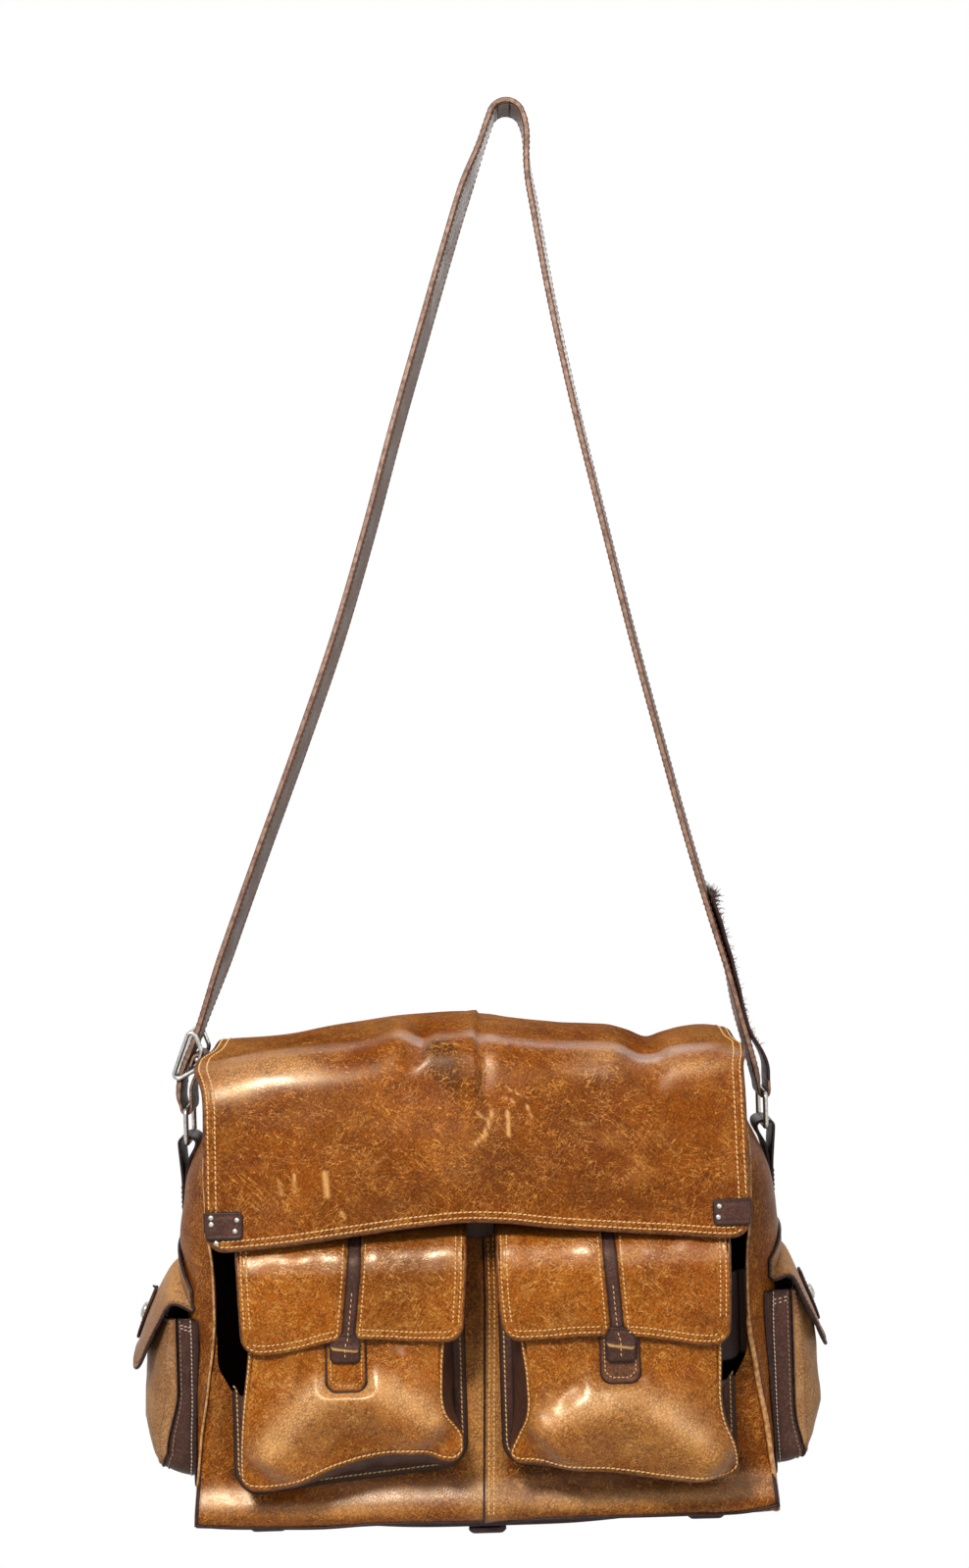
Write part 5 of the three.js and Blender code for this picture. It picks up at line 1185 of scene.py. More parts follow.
def make_pocket_flap(name, side):
    lines = FLAP_LINES[name]
    surface = pocket_flap_surface(name, side)
    width = 150.0
    s = np.unique(np.concatenate([rounded(0, width, POCKET_FLAP_CORNER, 1.8, 8), spread(width, 1.8)]).round(2))
    s = s[None, :] / width
    u_low = lerp(lines["edge"][0][0], lines["edge"][-1][0], s)
    floor = smooth_table(lines["edge"], u_low) + corner_rise(s * width, 0, width, POCKET_FLAP_CORNER)
    count = 62
    share = np.concatenate([np.linspace(0, 0.93, count)[:-1], 1 - np.array([6.5, 5, 4, 3, 2, 1, 0]) / 95])[:, None]
    total = np.concatenate([[0], np.cumsum(np.linalg.norm(np.diff(FLAP_PROFILE, axis=0), axis=1))])
    end_run = np.interp(-floor, -FLAP_PROFILE[:, 1], total)
    z = np.interp(share * end_run, total, FLAP_PROFILE[:, 1])
    u = lerp(smooth_table(lines["inner"], z), smooth_table(lines["outer"], z), s)
    grid = surface(u, z)
    place = ("bag", f"pocket_flap_{name}", (side * 90, -99.5, 192), (side * 90, -103.5, 180))
    shine = ease((z - 176) / 10) * ease((207 - z) / 6)
    tone = blots(u, z, POCKET_FLAP_TONE_AND_SHADE[name])
    piece = sheet(f"flap_pocket_{name}", grid, FLAP - 0.4, (TAN_POCKET, RIM_TAN, SUEDE), facing=(0, -1, 0.3),
                  shine=shine, tone=tone, grooves=(2.2, 6.0), depth=0.5)
    dress(piece, place, [f"flap_root_{name}", f"pocket_flap_{name}"])
    runs = []
    facing = (0, -1, 0.2)
    for off in (2.2, 6.0):
        low, high = lines["edge"][0][0] + 0.8, lines["edge"][-1][0] - 0.6
        inner_side = np.linspace(200, floor[0, 0] + 1, 60)
        outer_side = inner_side[::-1]
        along = np.linspace(low + off + 1, high - off - 1, 140)
        rise = corner_rise(along, low + off, high - off, max(POCKET_FLAP_CORNER - off, 2))
        away = np.abs(along - smooth_table(lines["tongue"], 137.0))
        bottom = smooth_table(lines["edge"], along) + off + rise
        keep = away > (7.5 if off > 4 else 5.5)
        for part in (along < 80, along > 95):
            pick = keep & part
            runs.append(on(surface, along[pick], bottom[pick], facing))
        runs.append(on(surface, smooth_table(lines["inner"], inner_side) + off, inner_side, facing))
        runs.append(on(surface, smooth_table(lines["outer"], outer_side) - off, outer_side, facing))
    for off in (-7.4, 7.4):
        z_run = np.linspace(198, 138, 60)
        runs.append(on(surface, smooth_table(lines["tongue"], z_run) + off, z_run, facing))
    threads(f"flap_pocket_thread_{name}", runs, place, pitch=3.1, length=2.4)

    z = np.linspace(205, 136.5, 60)[:, None]
    across = np.linspace(-4, 4, 7)[None, :]
    u = smooth_table(lines["tongue"], z) + across
    crown = 0.55 * (1 - (across / 4) ** 2)
    point = surface(smooth_table(lines["tongue"], z) + 0 * across, z)
    point[..., 0] = side * u
    point[..., 1] -= 0.3 + TRIM * 0.9 + crown
    tab_top = 137.5 if side < 0 else 136.5
    tab_low = 121.0 if side < 0 else 116.5
    piece = sheet(f"tongue_strip_{name}", point, TRIM * 0.85, (DARK, RIM_DARK, SUEDE_DARK), facing=(0, -1, 0))
    dress(piece, place, [f"tongue_{name}"])
    rows = np.linspace(0, 1, 22)[:, None]
    centre = KEEPER[name] + (-0.4 if side < 0 else 0.6)
    half = lerp(5.0, 9.6, ease(rows / 0.28))
    at = np.linspace(-1, 1, 13)[None, :]
    low = tab_low + corner_rise(at * 9.6, -9.6, 9.6, 2.5)
    z = lerp(tab_top + 2.0, low, rows)
    x = centre + at * half + (side * smooth_table(lines["tongue"], 137.0) - centre) * ease(1 - rows / 0.3)
    sag = 0.9 * np.exp(-((rows - 0.55) / 0.12) ** 2)
    y = -(104.9 + sag - 0.9 * rows**2 + 0.5 * (1 - at**2)) + 0 * x
    grid = np.stack(np.broadcast_arrays(x, y, z), -1)
    # A pale crease across the tab, partly wear and partly painted highlight.
    wear = 0.8 * np.exp(-((rows - 0.55 - 0.07 * at) / 0.045) ** 2) + 0 * at
    piece = sheet(f"tab_{name}", grid, TRIM, (DARK, RIM_DARK, SUEDE_DARK), facing=(0, -1, 0), wear=wear,
                  grooves=(1.8,), depth=0.25)
    dress(piece, f"pocket_flap_{name}")
    z_run = np.linspace(168, tab_low + 2.5, 50)
    mid = side * smooth_table(lines["tongue"], z_run)
    mid = lerp(mid, centre, ease((tab_top - z_run) / 8))
    y_strip = surface(smooth_table(lines["tongue"], z_run), z_run)[:, 1] - 0.3 - TRIM * 0.9 - 0.55
    share = (tab_top + 2 - z_run) / (tab_top + 2 - tab_low)
    y_tab = -(104.9 + 0.9 * np.exp(-((share - 0.55) / 0.12) ** 2) - 0.9 * share**2 + 0.55)
    y_run = np.where(z_run < tab_top, np.minimum(y_tab, y_strip), y_strip)
    run = np.stack([mid, y_run - 0.05, z_run], 1)
    threads(f"tongue_thread_{name}", [(run, np.tile([0.0, -1.0, 0.0], (len(run), 1)))], place,
            pitch=3.6, length=2.4, radius=0.34)


KEEPER_BROWN = leather("keeper_brown", (106, 66, 46), (62, 36, 28), (166, 120, 84), (90, 50, 38), gloss=0.38,
                       hair=0.4)

for pocket_name, pocket_side in SIDES:
    make_pocket(pocket_name, pocket_side)
    make_pocket_flap(pocket_name, pocket_side)

# The side pockets

SIDE_HALF, SIDE_TOP, SIDE_FLOOR, SIDE_RIM, SIDE_CORNER = 40.0, 146.0, 22.0, 213.0, 12.0


def side_panel_x(y, z, side=1):
    across = np.sqrt(np.maximum(1 - (y / SIDE_HALF) ** 2, 0.0))
    up = np.clip((z - SIDE_FLOOR) / (SIDE_TOP - SIDE_FLOOR), 0, 1)
    share = np.minimum(1, 1.15 * np.sin(math.pi * (0.06 + 0.8 * up))) * np.sqrt(np.minimum(1, up * 6))
    flare = 5.0 * np.exp(-(((z - 36) / 16) ** 2)) if side > 0 else lerp(5.0, -3.5, ease((z - 45) / 45))
    depth = 22.0 - flare + (2.5 if side < 0 else 0.0)
    return SIDE_RIM + flare + GAP + PANEL + depth * across * lerp(share, share * 0.5, up**4)


def make_side_pocket(name, side):
    columns = rounded(-SIDE_HALF, SIDE_HALF, SIDE_CORNER, 1.8, 9)
    front_floor, base_floor = (34.0, 26.5) if side < 0 else (28.0, 24.0)
    top = SIDE_TOP - (8.0 if side < 0 else 0.0)
    floor = front_floor + corner_rise(columns, -SIDE_HALF, SIDE_HALF, SIDE_CORNER)
    share = spread(120.0, 1.9)[:, None] / 120
    z = lerp(top, floor[None, :], share)
    y = np.broadcast_to(columns[None, :], z.shape)

    def surface(y, z):
        margin = SIDE_HALF - np.abs(y)
        wave = (0.8 * ripples(y, z, 40, 81 + side) + 0.3 * ripples(y, z, 16, 82)) * ease(margin / 10)
        x = side * (side_panel_x(y, z, side) + wave)
        return np.stack(np.broadcast_arrays(x, y, z), -1)

    grid = surface(y, z)
    piece = sheet(f"side_front_{name}", grid, 2.2, (TAN_SIDE, RIM_DARK, SUEDE), facing=(side, 0, 0),
                  grooves=(3.0,), depth=0.4)
    dress(piece, "bag", [f"side_pocket_panel_{name}"])
    inset = boundary(grid[:, 3:-3][:-3]) + np.array([side * 0.05, 0, 0])
    normal = boundary(grid_normals(grid, facing=(side, 0, 0))[:, 3:-3][:-3])
    threads(f"side_front_thread_{name}", [(inset, normal)], "bag", look=THREAD_DARK)
    front = boundary(grid) - np.array([side * 2.0, 0, 0])
    rows, count = grid.shape[:2]
    path = u_path(-SIDE_HALF, SIDE_HALF, base_floor, base_floor, top, SIDE_CORNER, (rows, count - 2))
    normals = path_normals(path)
    base = np.stack([side * (gusset_x(path[:, 0], path[:, 1]) + 0.4), path[:, 0], path[:, 1]], 1)
    out = np.stack([0 * normals[:, 0], normals[:, 0], normals[:, 1]], 1)
    wall = ruled(front, base, out * 1.2, 9)
    piece = sheet(f"side_wall_{name}", wall, 2.0, (DARK, RIM_DARK, SUEDE_DARK), centre=(side * 205, 0, 90),
                  grooves=(2.4,), depth=0.3)
    dress(piece, "bag", [f"side_pocket_gusset_{name}"])
    normal = boundary(grid_normals(grid, facing=(side, 0, 0)))
    seam = front * 0.88 + base * 0.12 + out * 0.5
    near = front * 0.18 + base * 0.82 + out * 0.8
    threads(f"side_wall_thread_{name}", [(seam, out)], "bag", look=THREAD_DARK)
    runs = [(near, out)]
    for row in (4, 6):
        across = np.linspace(0.12, 0.9, 12)[:, None]
        for end in (row, -1 - row):
            line = front[end] * across + base[end] * (1 - across) + out[end] * (1.2 * np.sin(across * math.pi) + 0.1)
            runs.append((line, np.tile(out[end], (12, 1))))
    threads(f"side_wall_hem_{name}", runs, "bag", look=THREAD_PALE, pitch=2.9, length=2.4, radius=0.42)

    def on_gusset(y, z):
        return np.stack(np.broadcast_arrays(side * (gusset_x(y, z) + 2.4), y, z), -1)

    flange = flange_grid(path, normals, on_gusset, 6.5, 5)
    piece = sheet(f"side_flange_{name}", flange, 2.0, (DARK, RIM_DARK, SUEDE_DARK), facing=(side, 0, 0))
    dress(piece, "bag")


SIDE_FLAP_HALF = 43.0
SIDE_HINGE_X = 206.44


def side_flap_surface(side):
    """The saddle of a side flap; the left one hangs wider and its edges lower."""
    root_arch, arch, bend, wide, end_z = (30.0, 12.0, 6.0, 5.5, 111.0) if side < 0 else (20.0, 6.0, 2.0, 0.0, 110.0)
    a = np.array([(SIDE_HINGE_X - 1.25, 175), (SIDE_HINGE_X + 10, 177), (SIDE_HINGE_X + 21.5, 146),
                  (SIDE_HINGE_X + 34.5, end_z)])

    def surface(y, along):
        y, along = np.broadcast_arrays(np.asarray(y, float), np.asarray(along, float))
        t = np.clip(along, 0, 1.05)
        b = [(1 - t) ** 3, 3 * t * (1 - t) ** 2, 3 * t**2 * (1 - t), t**3]
        x = sum(w * p[0] for w, p in zip(b, a)) + wide * ease(along / 0.8)
        z = sum(w * p[1] for w, p in zip(b, a))
        share = (y / SIDE_FLAP_HALF) ** 2
        wave = 0.9 * ripples(y, along * 80, 46, 91) * ease(along / 0.25)
        x = x - bend * share + wave * 0.6
        return np.stack([side * x, y, z - lerp(root_arch, arch, ease(t / 0.5)) * share + wave * 0.4], -1)
    return surface


def make_side_flap(name, side):
    surface = side_flap_surface(side)
    columns = np.unique(np.concatenate([rounded(-SIDE_FLAP_HALF, SIDE_FLAP_HALF, 14, 1.9, 9),
                                        [-41.8, -40.6, -39, 39, 40.6, 41.8]]).round(3))[None, :]
    rise = corner_rise(columns, -SIDE_FLAP_HALF, SIDE_FLAP_HALF, 14)
    reach = 1 - rise / 88
    share = np.concatenate([np.linspace(0, 0.93, 44), 1 - np.array([5, 4, 3, 2, 1, 0]) / 88])[:, None]
    grid = surface(columns + 0 * share, share * reach)
    root_z = np.array([13.0, 10.0, 7.0, 4.0, 1.8])[:, None]
    z = grid[:1, :, 2] + root_z
    hug = side * (gusset_x(columns + 0 * root_z, z) + PANEL + 0.4)
    root = np.stack([hug, columns + 0 * root_z, z], -1)
    grid = np.concatenate([root, grid])
    place = ("bag", f"side_flap_{name}", (side * 206.0, 0, 173), (side * 221.0, 0, 173))
    wear = np.concatenate([np.zeros((5, 1)), 0.4 * np.exp(-((share - 0.3) / 0.25) ** 2)]) + 0 * columns
    piece = sheet(f"flap_side_{name}", grid, PANEL, (TAN_SIDE, RIM_DARK, SUEDE_DARK), facing=(side, 0, 0.6),
                  wear=wear, grooves=(2.4,), depth=0.3)
    dress(piece, place, [f"side_flap_{name}"])
    edge = boundary(grid[:, 3:-3][:-3])
    normal = boundary(grid_normals(grid, facing=(side, 0, 0.6))[:, 3:-3][:-3])
    threads(f"flap_side_thread_{name}", [(edge, normal)], place, look=THREAD_DARK)
    rows = np.linspace(0, 1, 26)[:, None]
    half = 11.0 * np.sqrt(np.maximum(1 - (2 * rows - 1) ** 2, 0.004))
    at = np.linspace(-1, 1, 11)[None, :]
    along = lerp(0.56, 0.93, rows) + 0 * at
    patch = surface(at * half, along)
    normal = grid_normals(patch, facing=(side, 0, 0.6))
    piece = sheet(f"side_badge_{name}", patch + normal * (GAP + TRIM), TRIM, (DARK, RIM_DARK, SUEDE_DARK),
                  facing=(side, 0, 0.6), grooves=(2.0,), depth=0.25)
    dress(piece, f"side_flap_{name}", [f"side_flap_patch_{name}"])
    ring = np.linspace(0, 2 * math.pi, 60)
    spot, up = on(lambda y, t: surface(y, t / 100), 8.6 * np.cos(ring), 74.5 + 15.5 * np.sin(ring),
                  (side, 0, 0.6), 0.5)
    threads(f"side_badge_thread_{name}", [(spot + up * (GAP + TRIM), up)], f"side_flap_{name}", pitch=2.8,
            length=2.1, radius=0.34)
    centre, up = on(lambda y, t: surface(y, t / 100), np.array([0.0]), np.array([74.5]), (side, 0, 0.6), 0.5)
    cap = dome(f"side_dome_{name}", centre[0] + up[0] * (GAP + TRIM), up[0], 6.2, 2.9)
    dress(cap, f"side_flap_{name}", [f"side_snap_cap_{name}"])


for pocket_name, pocket_side in SIDES:
    make_side_pocket(pocket_name, pocket_side)
    make_side_flap(pocket_name, pocket_side)


# The strap and its hardware

RING_X, RING_TOP, RING_LOW, WIRE = 203.0, 281.0, 257.0, 1.8
LOOP = WIRE + GAP + 0.18 + 1.1
FOOT_X, FOOT_Z, SLOPE, RUN = -RING_X - (LOOP - 1.1) - 2.0, 300.0, 0.383, 110.0
# The bow of each leg, in shares of its length and of LEG_BOW
LEG_BOW = 10.0
LEFT_SHARES = [(0.084, -0.19), (0.225, -0.55), (0.358, -0.75), (0.49, -0.58), (0.613, -0.25), (0.733, -0.04),
               (0.833, 0.11), (0.917, 0.16), (0.96, 0.05)]
RIGHT_SHARES = [(0.037, -0.06), (0.072, 0.03), (0.127, 0.03), (0.175, 0.24), (0.245, 0.52), (0.358, 0.8),
                (0.474, 1.02), (0.593, 1.1), (0.715, 1.13), (0.818, 0.98), (0.897, 0.68), (0.951, 0.44)]


def bowed_leg(foot, top, shares):
    foot, top = np.array(foot), np.array(top)
    along = unit(top - foot)
    beside_leg = np.array([-along[1], along[0]])
    return [tuple(foot + (top - foot) * share + beside_leg * LEG_BOW * bow) for share, bow in shares]


def strap_line():
    hook = [(42 + 12 * math.cos(a), 971 + 12 * math.sin(a)) for a in np.linspace(math.pi * 0.93, math.pi * 0.07, 9)]
    left_foot, right_foot = (FOOT_X + SLOPE * RUN, FOOT_Z + RUN), (RING_X - (LOOP - 1.1) - 2.0, RING_TOP + 5.4)
    left_leg = [left_foot, *bowed_leg(left_foot, hook[0], LEFT_SHARES)]
    right_leg = bowed_leg(right_foot, hook[-1], RIGHT_SHARES)
    left_turn = [(-RING_X + LOOP * math.cos(a), RING_TOP + LOOP * math.sin(a)) for a in np.linspace(0, -math.pi, 11)]
    right_turn = [(RING_X + LOOP * math.cos(a), RING_TOP + LOOP * math.sin(a)) for a in np.linspace(-math.pi, 0, 11)]
    return np.array([(left_turn[0][0], RING_TOP + 8), *left_turn, (FOOT_X - 0.6, RING_TOP + 6), (FOOT_X, FOOT_Z),
                     (FOOT_X + SLOPE * 30, FOOT_Z + 30), (FOOT_X + SLOPE * 70, FOOT_Z + 70), *left_leg, *hook,
                     *right_leg[::-1], (right_foot[0], RING_TOP + 9), *right_turn, (right_turn[-1][0], RING_TOP + 8)])


def strap_section(width, thick):
    """The strap's cross-section: crowned faces, two layers and a groove between them at each edge."""
    w, h = width / 2, thick / 2
    side = [(w - 1.6, h), (w - 0.6, h * 0.92), (w - 0.1, h * 0.62), (w, h * 0.28), (w - 0.35, 0.0),
            (w, -h * 0.28), (w - 0.1, -h * 0.62), (w - 0.6, -h * 0.92), (w - 1.6, -h)]
    under = [(w * k, -h * 1.04) for k in (0.7, 0.4, 0.0, -0.4, -0.7)]
    other = [(-a, -b) for a, b in side]
    over = [(-a, -b) for a, b in under]
    return np.array([*side, *under, *other, *over])


def band(name, line, width, thick, looks, yaw=0.0, worn=None):
    """A strap along a line in the plane of the ring's width, turned by yaw about its own length."""
    line = np.asarray(line, float)
    along = unit(np.gradient(line, axis=0))
    normal = np.stack([-along[:, 1], 0 * along[:, 0], along[:, 0]], 1)
    wide = np.tile([0.0, 1.0, 0.0], (len(line), 1))
    angle = np.broadcast_to(yaw, (len(line),))[:, None]
    wide, normal = np.cos(angle) * wide + np.sin(angle) * normal, np.cos(angle) * normal - np.sin(angle) * wide
    thick = np.broadcast_to(thick, (len(line),))
    shape = strap_section(width, 1.0)
    centre = np.stack([line[:, 0], 0 * line[:, 0], line[:, 1]], 1)
    points = (centre[:, None] + shape[None, :, :1] * wide[:, None]
              + shape[None, :, 1:] * normal[:, None] * thick[:, None, None]).reshape(-1, 3)
    sides = len(shape)
    k, s = np.meshgrid(np.arange(len(line) - 1), np.arange(sides), indexing="ij")
    t = (s + 1) % sides
    faces = np.stack([k * sides + s, k * sides + t, (k + 1) * sides + t, (k + 1) * sides + s], -1).reshape(-1, 4)
    slots = np.where(np.isin(s.ravel(), [2, 3, 4, 5, 16, 17, 18, 19]), 1, 0)
    ends = [list(range(sides))[::-1], [(len(line) - 1) * sides + v for v in range(sides)]]
    edge = np.tile(width / 2 - np.abs(shape[:, 0]), len(line))
    piece = build(name, points, [*faces, *ends], looks, np.concatenate([slots, [1, 1]]), edge=edge,
                  wear=worn)
    return piece, centre, wide, normal


RIM_STRAP = plain("rim_strap", (142, 108, 86), (96, 66, 52), 0.6, 260.0)


def make_strap():
    line = smooth_strap()
    height = line[:, 1]
    leg = ease((height - 330) / 60) * ease((961 - height) / 40)
    side = np.where(line[:, 0] < 30, -1.0, 1.0)
    yaw = np.radians(7.0) * leg * side
    end = np.minimum(np.arange(len(line)), np.arange(len(line))[::-1])
    thin = (height < RING_TOP + 7) | (end < 12)
    thick = np.where(thin, 2.2, 4.0)
    thick = np.convolve(np.pad(thick, 3, mode="edge"), np.ones(7) / 7, mode="valid")
    piece, centre, wide, normal = band("strap", line, 38.0, thick, (STRAP, RIM_STRAP), yaw)
    dress(piece, "bag", ["shoulder_strap"])
    keep = height > RING_TOP + 12
    runs = []
    for way in (-1, 1):
        for face in (-1, 1):
            run = centre + wide * way * 15.6 + normal * face * (thick[:, None] / 2 + 0.05)
            runs.append((run[keep], normal[keep] * face))
    threads("strap_thread", runs, "bag", look=THREAD_DARK, pitch=4.2, length=3.0, radius=0.36, sides=4)
    return line


def smooth_strap():
    points = strap_line()
    lengths = np.concatenate([[0], np.cumsum(np.linalg.norm(np.diff(points, axis=0), axis=1))])
    count = 420
    at = np.linspace(0, lengths[-1], count)
    near = np.concatenate([np.linspace(0, 30, 24), np.linspace(lengths[-1] - 30, lengths[-1], 24)])
    top = np.linspace(lengths[-1] * 0.47, lengths[-1] * 0.53, 60)
    at = np.unique(np.concatenate([at, near, top]))
    return np.stack([smooth_table(np.stack([lengths, c], 1), at) for c in points.T], 1)


def make_fold_end(line):
    height = line[:, 1]
    out = 2.0 + 0.35 + 1.1
    along = unit(np.gradient(line, axis=0))
    beside_leg = line + np.stack([-along[:, 1], along[:, 0]], 1) * out
    start = np.array([RING_X + LOOP, RING_TOP + 8.3])
    near = start[1] + 36
    pick = (line[:, 0] > 100) & (height > near) & (height < start[1] + 140)
    leg = beside_leg[pick][::-1]
    if leg[0, 1] > leg[-1, 1]:
        leg = leg[::-1]
    path = smooth_path(np.concatenate([[start, start + [0, 8]], leg[::3]]), 60)
    wobble = 0.35 * ripples(path[:, 1], 0, 22, 95)
    path = path + np.stack([wobble * ease((path[:, 1] - 300) / 20), 0 * wobble], 1)
    piece, centre, wide, normal = band("strap_end", path, 37.4, 2.2, (DARK, RIM_DARK))
    dress(piece, "bag", ["strap_fold_end"])
    draw = np.random.default_rng(19)
    points, faces = [], []

    def fibre(root, push, length, thick):
        bend = draw.normal(0, 0.5, 3)
        total = len(points)
        heading = unit(push + draw.normal(0, 0.45, 3))
        spot = root.copy()
        for k in range(5):
            ring_r = thick * (1 - 0.17 * k)
            side = unit(np.cross(heading, [0.3, 0.9, 0.2]))
            other = np.cross(heading, side)
            for a in range(4):
                turn = a * math.pi / 2
                points.append(spot + ring_r * (math.cos(turn) * side + math.sin(turn) * other))
            spot = spot + heading * length / 4
            heading = unit(heading + bend * 0.35)
        for k in range(4):
            for a in range(4):
                b = (a + 1) % 4
                faces.append([total + 4 * k + a, total + 4 * k + b, total + 4 * k + 4 + b, total + 4 * k + 4 + a])
        faces.append([total + a for a in range(4)][::-1])
        faces.append([total + 16 + a for a in range(4)])

    for _ in range(230):
        k = int(draw.uniform(0.12, 1) ** 0.8 * (len(path) - 1))
        across = draw.choice([-1.0, 1.0]) * draw.uniform(10, 18.6)
        root = centre[k] + wide[k] * across - normal[k] * 1.0
        fibre(root, -normal[k] * draw.uniform(0.4, 1.2) + wide[k] * np.sign(across) * 0.5, draw.uniform(1.6, 4.6),
              draw.uniform(0.14, 0.3))
    for _ in range(150):
        k = len(path) - 1 - int(abs(draw.normal(0, 3.0)))
        across = draw.uniform(-18.4, 18.4)
        root = centre[k] + wide[k] * across - normal[k] * draw.uniform(-1.0, 1.0)
        push = np.array([0.25, 0, 1.0]) * draw.uniform(-0.3, 1.0) - normal[k] * draw.uniform(0.2, 1.3)
        fibre(root, push, draw.uniform(3.0, 8.5), draw.uniform(0.16, 0.42))
    piece = build("strap_fray", np.array(points), faces, [FRAY])
    dress(piece, "bag")


FRAY = plain("fray", (48, 32, 28), (96, 68, 54), 0.9, 600.0)


def make_rings():
    for name, side in SIDES:
        half, corner = 41 / 2 + WIRE, 4.0
        path = []
        for y, z, start in ((half - corner, RING_TOP - corner, 0), (-half + corner, RING_TOP - corner, 90),
                            (-half + corner, RING_LOW + corner, 180), (half - corner, RING_LOW + corner, 270)):
            for a in np.radians(np.linspace(start, start + 90, 8)):
                path.append((side * RING_X, y + corner * math.cos(a), z + corner * math.sin(a)))
        ring = tube(f"ring_wire_{name}", path, WIRE, NICKEL, closed=True, sides=14, up=(1, 0, 0))
        dress(ring, f"ring_{name}", [f"ring_{name}"])


SLIDE_AT = np.array([FOOT_X + SLOPE * 18.0, 318.0])
SLIDE_ALONG = unit(np.array([SLOPE, 1.0]))
SLIDE_IN = np.array([SLIDE_ALONG[1], -SLIDE_ALONG[0]])


def slide_spot(along, inward):
    return SLIDE_AT + SLIDE_ALONG * along + SLIDE_IN * inward


def make_slide():
    low, high = -6.5, 10.1
    outline = [(-18, low + 1.6), (-16.4, low), (16.4, low), (18, low + 1.6), (18, low + 5.6), (7.5, high - 0.6),
               (5.8, high), (-5.8, high), (-7.5, high - 0.6), (-18, low + 5.6)]
    loop = np.array([*outline, outline[0]])
    loop = resample(loop, 90)[:-1]
    for _ in range(3):
        loop = (np.roll(loop, 1, 0) + 2 * loop + np.roll(loop, -1, 0)) / 4
    loop = (loop - loop.mean(0)) * [1 - 1.5 / 18, 1 - 1.5 / 8.3] + loop.mean(0)
    parts = []
    for way in (-1, 1):
        spots = np.array([slide_spot(a, b) for a, b in loop])
        path = np.stack([spots[:, 0], np.full(len(spots), way * (19.5 + 1.5)), spots[:, 1]], 1)
        parts.append(tube(f"slide_side_{way + 1}", path, 1.6, NICKEL, closed=True, sides=12, up=(0, 1, 0)))
    for k, (a, b) in enumerate(((-16.3, -4.0), (16.3, -4.0), (0.0, 6.5))):
        x, z = slide_spot(a, b)
        y = np.linspace(-20.8, 20.8, 12)
        path = np.stack([0 * y + x, y, 0 * y + z], 1)
        parts.append(tube(f"slide_bar_{k}", path, 1.65, NICKEL, sides=12, up=(1, 0, 0)))
    dress(parts[0], "slide", ["slide_buckle"])
    for part in parts[1:]:
        dress(part, "slide")


def make_adjust_loop():
    bar = 1.7
    radius = bar + GAP + 1.1
    wrap = [slide_spot(radius * math.sin(a), 6.5 + radius * math.cos(a)) for a in np.linspace(0, math.pi, 12)]
    start = np.array([-RING_X + LOOP, RING_TOP + 8.3])
    line = np.array([start, start + [0, 4], *wrap, slide_spot(-6.8, 6.5 - radius)])
    lengths = np.concatenate([[0], np.cumsum(np.linalg.norm(np.diff(line, axis=0), axis=1))])
    at = np.linspace(0, lengths[-1], 70)
    line = np.stack([smooth_table(np.stack([lengths, c], 1), at) for c in line.T], 1)
    piece, *_ = band("strap_loop", line, 37.2, 2.2, (STRAP, RIM_STRAP))
    dress(piece, ("bag", "slide", (start[0], 0, start[1] + 2), (start[0], 0, start[1] + 18)),
          ["adjust_loop"])


def make_ring_tabs():
    for name, side in SIDES:
        middle, tall = WIRE + 3.2 + TRIM / 2, WIRE + 1.0 + TRIM / 2
        seat = float(gusset_x(0.0, 209.0)) + 0.6 - TAB_SEAT
        turn = [(RING_X + middle * math.cos(a), RING_LOW + tall * math.sin(a))
                for a in np.linspace(-0.1, math.pi + 0.1, 20)]
        line = [(seat + 1.5 * TRIM, 209.0), (seat + 1.5 * TRIM, 219.0), (seat + 1.5 * TRIM, 230.0),
                (lerp(seat + 1.5 * TRIM, RING_X + middle, 0.55), 245.0), *turn,
                (lerp(seat + 0.5 * TRIM, RING_X - middle, 0.35), 245.0),
                (seat + 0.5 * TRIM, 230.0), (seat + 0.5 * TRIM, 219.0), (seat + 0.5 * TRIM, 209.0)]
        line = np.array(line)
        lengths = np.concatenate([[0], np.cumsum(np.linalg.norm(np.diff(line, axis=0), axis=1))])
        at = np.linspace(0, lengths[-1], 90)
        line = np.stack([smooth_table(np.stack([lengths, c], 1), at) for c in line.T], 1)
        line[:, 0] *= side
        piece, *_ = band(f"ring_loop_{name}", line, 35.0, TRIM * 0.96, (BLACK, RIM_DARK))
        dress(piece, "bag", [f"ring_tab_{name}"])
        z = np.concatenate([np.linspace(227, 211.5, 12), np.full(14, 211.5), np.linspace(211.5, 227, 12)])
        y = np.concatenate([np.full(12, -14.5), np.linspace(-14.5, 14.5, 14), np.full(12, 14.5)])
        x = side * (seat + 2 * TRIM + 0.05)
        run = np.stack([np.full_like(z, x), y, z], 1)
        threads(f"ring_loop_thread_{name}", [(run, np.tile([float(side), 0, 0], (len(run), 1)))], "bag",
                look=THREAD_DARK)


strap = make_strap()
make_fold_end(strap)
make_rings()
make_slide()
make_adjust_loop()
make_ring_tabs()


# The bottom, its runners, the snap, the lining and what they hide


